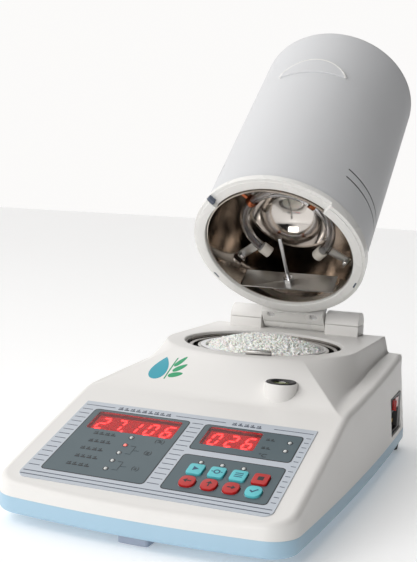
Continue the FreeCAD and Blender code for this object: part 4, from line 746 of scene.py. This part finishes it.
captions = blocks(-57, 96.8, 9, 3.6) + blocks(27, 96.8, 5, 3.4)
graphic("panel_captions", captions, *PRINT, "ink_grey")
labels = []
for line in range(len(LIST_LAMPS)):
    labels += blocks(-59 + (line % 2), 25.8 + LIST_STEP * line, 4, 3.4)
labels += blocks(55, 74, 2, 2.6) + blocks(55, 84, 2, 2.6)
for span in ((27.3, 36.7), (46.1, 55.5)):
    labels += [bar(-27.4, -24, span[0]), bar(-27.4, -24, span[1]), bar(-23.6, -19.6, sum(span) / 2)]
    labels.append(rectangle(-24, -23.6, span[0] - 0.2, span[1] + 0.2))
graphic("panel_labels", labels, FILM + 0.13, FILM + 0.2, "ink")


def lettering(name, text, x, y, size, finish, top):
    """Plain generic unit marks, drawn flat."""
    curve = bpy.data.curves.new(name, "FONT")
    curve.body = text
    curve.size = size
    curve.extrude = 0.04
    curve.align_x = "CENTER"
    curve.align_y = "CENTER"
    placing = Matrix.Scale(MM, 4) @ PANEL @ Matrix.Translation((x, y, top))
    return from_curve(name, curve, finish, "base", placing=placing)


for name, text, x, y in (("unit_percent", "(%)", -11, 65), ("unit_gram", "(g)", -13, 50.8),
                         ("unit_second", "(s)", -13, 32), ("unit_degree", "\u00b0C", 58.5, 66.4)):
    lettering(name, text, x, y, 5.4, "ink", FILM + 0.18)

# Seven-segment digits, leaning to the right, with their segments named by place.
SEGMENTS = {"0": "abcdef", "1": "bc", "2": "abged", "6": "acdefg", "7": "abc"}


def segment_loops(x, y, width, height, thick, lit):
    """The outlines of the lit segments of one digit whose lower left corner is given."""
    half = thick / 2
    gap = thick * 0.12

    def across(y_middle):
        left, right = half + gap, width - half - gap
        above, below = y_middle + half, y_middle - half
        return [(left, y_middle), (left + half, above), (right - half, above), (right, y_middle),
                (right - half, below), (left + half, below)]

    def upward(x_middle, y0, y1):
        y0, y1 = y0 + half + gap, y1 - half - gap
        return [(x_middle, y0), (x_middle - half, y0 + half), (x_middle - half, y1 - half), (x_middle, y1),
                (x_middle + half, y1 - half), (x_middle + half, y0 + half)]

    near, far, middle = half, height - half, height / 2
    table = {
        "a": across(far), "g": across(middle), "d": across(near),
        "f": upward(half, middle, far), "b": upward(width - half, middle, far),
        "e": upward(half, near, middle), "c": upward(width - half, near, middle),
    }
    return [[(x + px + py * DIGIT_LEAN, y + py) for px, py in table[key]] for key in lit]


DIGIT_FACE = -2.5
DIGIT_RISE = 73.4
DIGIT_HEIGHT = 14.2
DIGIT_THICK = 1.35
DIGIT_LEAN = 0.16
digit_loops, dim_loops = [], []
for extent, figures in ((main_window, "27106"), (small_window, "026")):
    pitch = (extent[1] - extent[0] - 2) / len(figures)
    for place, figure in enumerate(figures):
        left = extent[0] + 1 + pitch * place + pitch * 0.14
        shape = (left, DIGIT_RISE, pitch * 0.56, DIGIT_HEIGHT, DIGIT_THICK)
        digit_loops += segment_loops(*shape, SEGMENTS[figure])
        dim_loops += segment_loops(*shape, [key for key in "abcdefg" if key not in SEGMENTS[figure]])
pitch = (main_window[1] - main_window[0] - 2) / 5
digit_loops.append(circle(main_window[0] + 1 + pitch * 1.93, DIGIT_RISE + 0.8, 0.95, 16))
graphic("lit_segments", digit_loops, DIGIT_FACE + 0.05, DIGIT_FACE + 0.2, "lit_digit", slot="display_dark")
# The dim segments glow faintly: painted glow on segments that are not lit.
graphic("dim_segments", dim_loops, DIGIT_FACE + 0.05, DIGIT_FACE + 0.12, "unlit_segment_painted_glow", slot="display_dark")

LIT_LAMP = 3
lamp = [(0, -10), (1.3, -10), (1.3, FILM + 0.25), (0.9, FILM + 0.75), (0, FILM + 0.9)]
for number, (x, y) in enumerate(LIST_LAMPS + HEAT_LAMPS + KEY_LAMPS):
    surround = [circle(x, y, 1.95), circle(x, y, 1.42)]
    graphic(f"indicator_surround_{number}", surround, FILM + 0.13, FILM + 0.2, "ink")
    lathe(f"indicator_{number}", fillet(lamp, [0, 0, 0.3, 0.5, 0]),
          "lit_lamp" if number == LIT_LAMP else "led_clear", "base", 24, centre=(x, y), pose=PANEL,
          slot="led_clear", replaces=("indicator_lamps",) if number == 0 else ())

ARROW = [(2.8, 0), (0.4, 2), (0.4, 0.5), (-2.6, 0.5), (-2.6, -0.5), (0.4, -0.5), (0.4, -2)]
KEY_MARKS = {
    "start_key": [[(-1.6, -2.2), (2.2, 0), (-1.6, 2.2)]],
    "tare_key": [circle(0, 0, 2.2), circle(0, 0, 1.3), bar(-3.6, -2.6, 0, 0.8), bar(2.6, 3.6, 0, 0.8)],
    "display_key": [bar(-2.6, 2.6, rise, 0.8) for rise in (-1.8, 0, 1.8)],
    "stop_key": [rectangle(-1.9, 1.9, -1.9, 1.9, 0.4)],
    "left_key": [[(-x, y) for x, y in ARROW]],
    "up_key": [[(y, x) for x, y in ARROW]],
    "right_key": [ARROW],
    "enter_key": [[(-2.6, 0), (-1.8, 0.7), (-0.7, -0.4), (2.1, 2.3), (2.8, 1.5), (-0.7, -2)]],
}
for name in KEYS:
    finish = "key_red" if name in ("stop_key", "left_key", "up_key", "right_key") else "key_cyan"
    prism(name + "_cap", key_outline(name, 0), -2.8, KEY_TOP, finish, name, bevel=0.45, steps=3, pose=PANEL,
          replaces=(name,))
    x, y = key_spot(name)
    loops = [[(x + px, y + py) for px, py in loop] for loop in KEY_MARKS[name]]
    mark_finish = "ink" if finish == "key_red" else "ink_blue"
    graphic(name + "_mark", loops, KEY_TOP - 0.05, KEY_TOP + 0.06, mark_finish, body=name, slot=finish)


# ---- badge on the ramp ------------------------------------------------------------------------

def badge(name, loop, finish):
    """A flat shape laid on the ramp."""
    piece = graphic(name, [loop], 0, 0.1, finish, pose=Matrix.Identity(4), slot="overlay")
    work = bmesh.new()
    work.from_mesh(piece.data)
    bmesh.ops.subdivide_edges(work, edges=work.edges, cuts=3, use_grid_fill=True)
    bmesh.ops.triangulate(work, faces=work.faces)
    for vertex in work.verts:
        x, y = vertex.co.x / MM, vertex.co.y / MM
        vertex.co.z += (float(top_height(x, y)) + 0.03) * MM
    work.to_mesh(piece.data)
    work.free()
    return piece


def leaf(x, y, length, width, angle):
    loop = []
    for step in range(24):
        t = step / 24 * 2 * math.pi
        along = length / 2 * math.cos(t)
        across = width / 2 * math.sin(t) * (1 - 0.25 * math.cos(t))
        loop.append((x + along * math.cos(angle) - across * math.sin(angle),
                     y + along * math.sin(angle) + across * math.cos(angle)))
    return loop


def drop(x, y, radius, height):
    loop = []
    for step in range(40):
        t = step / 40
        swell = math.sin(math.pi * t)
        loop.append((x + radius * math.sin(2 * math.pi * t) * swell,
                     y + height / 2 * math.cos(2 * math.pi * t)))
    return loop


badge("badge_drop", drop(-50, -87, 9, 23), "mark_teal")
for number, (x, y, angle) in enumerate(((-36, -82, 0.9), (-34, -88, 0.55), (-35, -94, 0.2))):
    badge(f"badge_leaf_{number}", leaf(x, y, 11, 4, angle), "mark_green")
badge("badge_stem", [(-42.5, -98), (-41.5, -98), (-39.5, -78), (-40.5, -78)], "mark_green")


# ---- sample chamber ---------------------------------------------------------------------------

PAN_TOP = high("sample_pan").z
PAN_LOW = low("sample_pan").z
PAN_RIM = high("sample_pan").x
PAN_WALL = PAN_RIM - 3.6
STEM_HOLE = 9
bowl = [(STEM_HOLE, BOWL_FLOOR), (CHAMBER - 0.1, BOWL_FLOOR), (CHAMBER - 0.1, TOP - 2.1),
        (CHAMBER - 1, TOP - 2.1), (CHAMBER - 1, BOWL_FLOOR + 1), (STEM_HOLE, BOWL_FLOOR + 1)]
lathe("chamber_lining", fillet(bowl, [0, 4, 0.3, 0.3, 3.2, 0]), "bowl_steel", "base", 160,
      replaces=("chamber_bowl",))
RING_WALL = 57
DRAFT_TOP = high("draft_ring").z
draft = [(RING_WALL - 1, BOWL_FLOOR + 1.1), (RING_WALL, BOWL_FLOOR + 1.1), (RING_WALL, DRAFT_TOP - 1),
         (RING_WALL + 2.1, DRAFT_TOP - 1.4), (RING_WALL + 2.1, DRAFT_TOP - 0.1), (RING_WALL - 1, DRAFT_TOP)]
lathe("draught_ring", fillet(draft, [0, 0, 0.5, 0.5, 0.6, 1.2]), "bowl_steel", "base", 160,
      replaces=("draft_ring",))
soften("pan_carrier", "carrier_steel", 0.3)
SHEET = 0.7
pan = [(0, PAN_LOW), (PAN_WALL, PAN_LOW), (PAN_WALL, PAN_TOP - SHEET), (PAN_RIM, PAN_TOP - SHEET),
       (PAN_RIM, PAN_TOP), (PAN_WALL - SHEET, PAN_TOP), (PAN_WALL - SHEET, PAN_LOW + SHEET),
       (0, PAN_LOW + SHEET)]
lathe("pan_dish", fillet(pan, [0, 1.6, 0.5, 0.3, 0.3, 0.9, 1.2, 0]), "pan_aluminium", "pan", 160,
      replaces=("sample_pan",))

HEAP_EDGE = PAN_WALL - 0.9
HEAP_RADII = [0, HEAP_EDGE * 0.2, HEAP_EDGE * 0.5, HEAP_EDGE * 0.8, HEAP_EDGE]
HEAP_TOP = high("grain_sample").z
HEAP_HEIGHTS = [HEAP_TOP - 0.3, HEAP_TOP - 0.6, HEAP_TOP - 2, HEAP_TOP - 6, PAN_TOP - 0.9]


def heap_height(radius):
    return float(np.interp(radius, HEAP_RADII, HEAP_HEIGHTS))


bed = [(0, PAN_LOW + 0.8), (HEAP_EDGE, PAN_LOW + 0.8), (HEAP_EDGE, HEAP_HEIGHTS[-1] - 1.6)]
bed += [(HEAP_EDGE * share, heap_height(HEAP_EDGE * share) - 1.8) for share in (0.8, 0.65, 0.5, 0.35, 0.2)]
bed += [(0, HEAP_TOP - 2.2)]
lathe("grain_bed", fillet(bed, [0, 1.4, 1, 2, 2, 2, 2, 2, 0]), "grain", "pan", 96, replaces=("grain_sample",))


KERNELS = 1700
KERNEL_SIZE = (2.1, 0.95, 0.85)
KERNEL_RINGS = 5
KERNEL_SIDES = 8
GOLDEN_ANGLE = 2.399963


def kernel(centre, size, turn):
    """The points of one kernel: a pointed ellipsoid with a crease along it."""
    points = []
    for ring in range(1, KERNEL_RINGS + 1):
        along = math.cos(math.pi * ring / (KERNEL_RINGS + 1))
        reach = math.sin(math.pi * ring / (KERNEL_RINGS + 1)) ** 0.9
        for spoke in range(KERNEL_SIDES):
            angle = math.pi * spoke / 4
            crease = 0.86 if spoke == 2 else 1.0
            spot = Vector((along * size[0], reach * math.cos(angle) * size[1],
                           reach * math.sin(angle) * size[2] * crease))
            points.append(turn @ spot + centre)
    points += [turn @ Vector((tip, 0, 0)) + centre for tip in (size[0], -size[0])]
    return points


first_tip = KERNEL_RINGS * KERNEL_SIDES
last_ring = first_tip - KERNEL_SIDES
pairs = [(spoke, (spoke + 1) % KERNEL_SIDES) for spoke in range(KERNEL_SIDES)]
kernel_faces = [(ring + a, ring + KERNEL_SIDES + a, ring + KERNEL_SIDES + b, ring + b)
                for ring in range(0, last_ring, KERNEL_SIDES) for a, b in pairs]
kernel_faces += [(first_tip, a, b) for a, b in pairs]
kernel_faces += [(last_ring + a, first_tip + 1, last_ring + b) for a, b in pairs]
points, faces = [], []
for number in range(KERNELS):
    radius = (HEAP_EDGE - 2.2) * math.sqrt((number + 0.5) / KERNELS)
    angle = number * GOLDEN_ANGLE + rng.uniform(-0.1, 0.1)
    rise = heap_height(radius) - 1.7 + rng.uniform(-0.5, 0.75)
    centre = Vector((radius * math.cos(angle), radius * math.sin(angle), rise))
    tilt = Matrix.Rotation(rng.uniform(0, math.tau), 3, "Z") @ Matrix.Rotation(rng.gauss(0, 0.35), 3, "Y")
    tilt = tilt @ Matrix.Rotation(rng.uniform(0, math.tau), 3, "X")
    scale = rng.uniform(0.8, 1.15)
    first = len(points)
    points += kernel(centre, [length * scale for length in KERNEL_SIZE], tilt)
    faces += [tuple(first + index for index in face) for face in kernel_faces]
make("grain_kernels", points, faces, "grain", "pan", sharp=60)


# ---- hinge and head ---------------------------------------------------------------------------

soften("hinge_arm", "ring_white", 0.6, 3)
soften("hinge_arm_screws", "screw_steel", 0.3)
COVER = 70
HEAD_TOP = FACE + 219.5
COVER_ROUND = 7
VENTS = [(FACE + 43, FACE + 44.6), (FACE + 52, FACE + 53.6)]
cover_heights = [RING_TOP, RING_TOP + 0.8, RING_TOP + 12, RING_TOP + 24, *VENTS[0], *VENTS[1]]
cover_heights += [FACE + 60 + 15.25 * i for i in range(11)]
spokes = np.radians(np.arange(360) - 90.0)
around = np.stack([np.cos(spokes), np.sin(spokes)], 1)


def cover_ring(radius, height):
    return np.column_stack([around * radius, np.full(360, height)])


cover_rows = [cover_ring(COVER - 0.5, cover_heights[0])] + [cover_ring(COVER, z) for z in cover_heights[1:]]
for step in range(10):
    angle = math.radians(10 * step)
    radius = COVER - COVER_ROUND + COVER_ROUND * math.cos(angle)
    cover_rows.append(cover_ring(radius, HEAD_TOP - COVER_ROUND + COVER_ROUND * math.sin(angle)))
cover_rows += [cover_ring(radius, HEAD_TOP) for radius in (50, 30, 12, 0)]
vent_rows = [cover_heights.index(VENTS[0][0]), cover_heights.index(VENTS[1][0])]


def vent_opening(i, j, middle):
    """Where the head cover is left open: two rows of slots, each over 52 degrees of either side."""
    angle = (j - 90 + 0.5) % 360
    return i in vent_rows and (angle > 319 or angle < 11 or 169 < angle < 221)


grid("head_shell", cover_rows, "head_grey", "head", skip=vent_opening, pose=HEAD, shell=-2.4, sharp=50,
     replaces=("head_cover",))
# Near-black strips just inside the vent slots are painted shade, so the slots read dark.
for number, (low_edge, high_edge) in enumerate(VENTS):
    for side, start in enumerate((-44, 166)):
        painted_shade_strip = rectangle(COVER - 2.3, COVER - 0.2, low_edge + 0.05, high_edge - 0.05)
        lathe(f"vent_shade_{number}_{side}", painted_shade_strip, "painted_slot_shade", "head", 60, start=start + 3.2, sweep=51.6,
              pose=HEAD, slot="head_grey")
ARM_X = high("hinge_arm").x
lug = raised([(COVER - 3, 10.3), (HINGE.y - 8.6, 10.3), (HINGE.y - 8.6, 21), (COVER - 3, 26)], FACE)
prism("head_lug", lug, -ARM_X, ARM_X, "head_grey", "head", "X", bevel=1.2, steps=4, pose=HEAD)

GRIP_LOW = FACE + 152.5
GRIP_RISE = 17
GRIP_STAND = 2.9
BEAD_STEPS = 80
grip_half = COVER * math.sin(math.radians(25))
grip_arc = (grip_half ** 2 + GRIP_RISE ** 2) / (2 * GRIP_RISE)
ACROSS, UPWARD = 61, 25


def grip_peak(x):
    """How high the grip's arch stands over its foot, this far from its middle."""
    return math.sqrt(max(grip_arc ** 2 - x * x, 0)) - (grip_arc - GRIP_RISE)


def on_cover(x, radius, height):
    """A point out from the front of the head cover, where the cover itself is at x."""
    angle = math.asin(x / COVER)
    return radius * math.sin(angle), -radius * math.cos(angle), height


grip_points, grip_faces = [], []
for i in range(ACROSS):
    x = grip_half * math.sin(math.pi * (i / (ACROSS - 1) - 0.5)) * 0.999
    for k in range(UPWARD):
        share = 0.5 - 0.5 * math.cos(math.pi * k / (UPWARD - 1))
        rise = grip_peak(x) * share
        to_top = grip_arc - math.hypot(x, rise + grip_arc - GRIP_RISE)
        crown = min(max(to_top / 1.3, 0), 1)
        foot = min(rise / 0.5, 1)
        stand = GRIP_STAND * math.sqrt(1 - (1 - crown) ** 2) * math.sqrt(max(1 - (1 - foot) ** 2, 0))
        grip_points.append(on_cover(x, COVER - 0.3 + stand * (0.55 + 0.45 * share), GRIP_LOW + rise))
for i in range(ACROSS - 1):
    for k in range(UPWARD - 1):
        a = i * UPWARD + k
        grip_faces.append((a, a + UPWARD, a + UPWARD + 1, a + 1))
make("finger_grip", grip_points, grip_faces, "head_grey", "head", pose=HEAD, closed=False, shell=1.2,
     sharp=60)
# A raised bead runs along the grip's upper arc in the brighter ring white instead of the head's grey: a real
# rim shape with a painted highlight on it.
highlight_bead = []
for i in range(BEAD_STEPS + 1):
    x = grip_half * 0.985 * (i / (BEAD_STEPS / 2) - 1)
    peak = grip_peak(x)
    highlight_bead.append(on_cover(x, COVER + 1.3 * min(max(peak, 0) / 4, 1), GRIP_LOW + peak - 0.3))
wire("finger_grip_rim_painted_highlight", highlight_bead, 1.35, "ring_white", "head", pose=HEAD)

RING_IN, RING_OUT, STEP, NOTCH = 62.2, 72.3, 2.7, 4.9
band = raised([(RING_IN, RING_DEPTH), (RING_IN, 0), (RING_OUT - STEP, 0), (RING_OUT - STEP, 1.2),
               (RING_OUT, 1.2), (RING_OUT, RING_DEPTH)], FACE)
ring_outline = fillet(band, [0.3, 1.0, 0.5, 0.2, 0.7, 0.5], 4)
# The band is whole from -45 to 225 degrees, and cut back over the front quarter.
turns = [(math.radians(a), False) for a in np.arange(-45, 225.01, 1.5)]
turns += [(math.radians(a), True) for a in np.arange(225.25, 314.8, 1.5)] + [(math.radians(314.75), True)]
ring_points, ring_faces = [], []
for angle, cut_back in turns:
    for radius, z in ring_outline:
        if cut_back:
            z = max(z, FACE + NOTCH + (z - FACE) * 0.3)
        ring_points.append((radius * math.cos(angle), radius * math.sin(angle), z))
size = len(ring_outline)
for i in range(len(turns)):
    k = (i + 1) % len(turns)
    for j in range(size):
        n = (j + 1) % size
        ring_faces.append((i * size + j, k * size + j, k * size + n, i * size + n))
make("mouth_ring", ring_points, ring_faces, "ring_white", "head", pose=HEAD, replaces=("face_ring",))
# The two ring slots are thin dark grey tiles on the ring's face: painted shade standing for the dark of the
# slot openings.
for number, degrees in enumerate((28, 152)):
    spin = HEAD @ Matrix.Rotation(math.radians(degrees), 4, "Z")
    prism(f"ring_slot_painted_shade_{number}", rectangle(67.6, 69.0, -3.2, 3.2, 0.6), FACE - 0.06, FACE + 0.5,
          "ink_grey", "head", bevel=0.08, pose=spin, slot="ring_white")
catch = raised([(66, 0.6), (71.6, 1.6), (72.6, 3), (72.2, 6), (66, 6)], FACE)
prism("ring_catch", fillet(catch, 0.5), -2.0, 2.0, "ink_grey", "head", "Y", bevel=0.3,
      pose=HEAD @ Matrix.Rotation(math.radians(-134), 4, "Z"), slot="head_grey")

LINER = 61.6
LINER_LOW, LINER_TOP = FACE + 3, FACE + 75
liner = rectangle(LINER - 0.8, LINER, LINER_LOW, LINER_TOP)
lathe("polished_liner", liner, "liner_steel", "head", 180, pose=HEAD, replaces=("heat_liner",))
BOWL_RIM, BOWL_RISE, BOWL_LOW = 36.5, 25, FACE + 47
bowl_ball = (BOWL_RIM ** 2 + BOWL_RISE ** 2) / (2 * BOWL_RISE)
half = math.asin(BOWL_RIM / bowl_ball)
BOWL_WALL = 0.7
inner, outer = [], []
for i in range(25):
    angle = half * i / 24
    radius, z = bowl_ball * math.sin(angle), BOWL_LOW + BOWL_RISE - bowl_ball * (1 - math.cos(angle))
    inner.append((radius, z))
    outer.append((radius + 0.02 + BOWL_WALL * math.sin(angle), z + BOWL_WALL * math.cos(angle)))
outer[0] = (0, outer[0][1])
rim = [(BOWL_RIM + 1.8, BOWL_LOW - 0.1), (BOWL_RIM + 1.9, BOWL_LOW + 0.7)]
lathe("reflector_bowl", inner + rim + outer[::-1], "dome_steel", "head", 160, pose=HEAD, slot="liner_steel",
      replaces=("dome_reflector",))
plate = rectangle(0, LINER - 0.2, LINER_TOP, LINER_TOP + 0.8)
lathe("reflector_plate", plate, "liner_steel", "head", 160, pose=HEAD)
POST = 6
post = [(0, BOWL_LOW + BOWL_RISE + 0.4), (POST, BOWL_LOW + BOWL_RISE - 0.2), (POST, LINER_TOP),
        (0, LINER_TOP)]
lathe("reflector_post", post, "carrier_steel", "head", 48, pose=HEAD)

LAMP_RADIUS, LAMP_Z, LAMP_GAP = 37, FACE + 31, 94
sweep = 360 - LAMP_GAP
coil = []
COIL_TURNS = 84
COIL_RADIUS = 0.95
COIL_SIDES = 10
for step in range(COIL_TURNS * COIL_SIDES + 1):
    share = step / (COIL_TURNS * COIL_SIDES)
    angle = math.radians(90 + LAMP_GAP / 2 + sweep * (0.02 + 0.96 * share))
    twist = math.tau * step / COIL_SIDES
    radius = LAMP_RADIUS + COIL_RADIUS * math.cos(twist)
    height = LAMP_Z + COIL_RADIUS * math.sin(twist)
    coil.append((radius * math.cos(angle), radius * math.sin(angle), height))
wire("filament_coil", coil, 0.24, "filament", "head", pose=HEAD, replaces=("lamp_filament",))
soften("lamp_end_caps", "ceramic", 0.5, 3)
soften("lamp_supports", "carrier_steel", 0.2)
soften("support_screws", "screw_steel", 0.4, 3)
soften("lamp_clips", "copper", 0.15)
soften("temperature_probe", "screw_steel", 0.9, 4)
soften("probe_plate", "carrier_steel", 0.2)
soften("probe_nuts", "screw_steel", 0.4, 3)


# ---- power inlet and data port ----------------------------------------------------------------

soften("power_inlet", "part_black", 0.4, 3)
soften("inlet_blades", "blade_brass", 0.25)
soften("power_rocker", "rocker_red", 0.4, 3)
soften("data_port", "port_metal", 0.2)

SLOT_OF = {part["node"]: part["material_slot"] for part in frame["record"]["subparts"]}
for node, piece in NODES.items():
    if not piece.hide_render:
        piece.data.materials.clear()
        piece.data.materials.append(FINISH[SLOT_OF[node]])


# ---- floor, light and camera ------------------------------------------------------------------

floor_mesh = bpy.data.meshes.new("floor")
REACH = 6.0
corners = [(x, y, 0) for x, y in rectangle(-REACH, REACH, -REACH, REACH)]
floor_mesh.from_pydata(corners, [], [(0, 1, 2, 3)])
floor = add_object("floor", floor_mesh)
floor_mesh.materials.append(surface("floor_pale", (250, 250, 250), 0.7, grain=60, bump=0.02, shade=0.99,
                                   patches=2, glow=(255, 255, 255), glow_strength=0.2))

world = bpy.data.worlds.new("studio")
world.use_nodes = True
sky = world.node_tree
direction = sky.nodes.new("ShaderNodeTexCoord")
parts = sky.nodes.new("ShaderNodeSeparateXYZ")
sky.links.new(direction.outputs["Generated"], parts.inputs["Vector"])
# The light comes from the operator's left, and is a little stronger overhead.
fade = rescale(sky, parts.outputs["X"], (-0.15, 0.32), (0.97, 0.02), "SMOOTHSTEP")
lift = rescale(sky, parts.outputs["Z"], (0.3, 0.75), (1.0, 1.3), "SMOOTHSTEP")
sky.nodes["Background"].inputs["Color"].default_value = (1.0, 0.99, 0.98, 1)
both = sky.nodes.new("ShaderNodeMath")
both.operation = "MULTIPLY"
sky.links.new(fade, both.inputs[0])
sky.links.new(lift, both.inputs[1])
sky.links.new(both.outputs["Value"], sky.nodes["Background"].inputs["Strength"])
bpy.context.scene.world = world


def area_light(name, place, target, size, power):
    light = bpy.data.lights.new(name, "AREA")
    light.shape = "RECTANGLE"
    light.size, light.size_y = size
    light.energy = power
    lamp = add_object(name, light)
    lamp.location = place
    lamp.rotation_euler = (Vector(target) - Vector(place)).to_track_quat("-Z", "Y").to_euler()


area_light("key_light", (-1.3, -1.2, 1.7), (0, -0.05, 0.1), (1.2, 1.2), 10)
area_light("front_light", (0.1, -2.0, 0.7), (0, 0.02, 0.18), (0.9, 0.6), 8)

VIEW_FROM = (0.24895, -0.75587, 0.21233)
FORWARD = Vector((-0.36561, 0.92633, -0.09073))
UP = Vector((-0.07462, 0.06800, 0.99489))
RIGHT = FORWARD.cross(UP)
lens = bpy.data.cameras.new("camera")
lens.lens = 64.45
lens.sensor_width = 36
lens.clip_start = 0.02
camera = add_object("camera", lens)
turn = Matrix((RIGHT, UP, -FORWARD)).transposed().to_4x4()
camera.matrix_world = Matrix.Translation(VIEW_FROM) @ turn
bpy.context.scene.camera = camera
bpy.context.scene.view_settings.view_transform = "Standard"
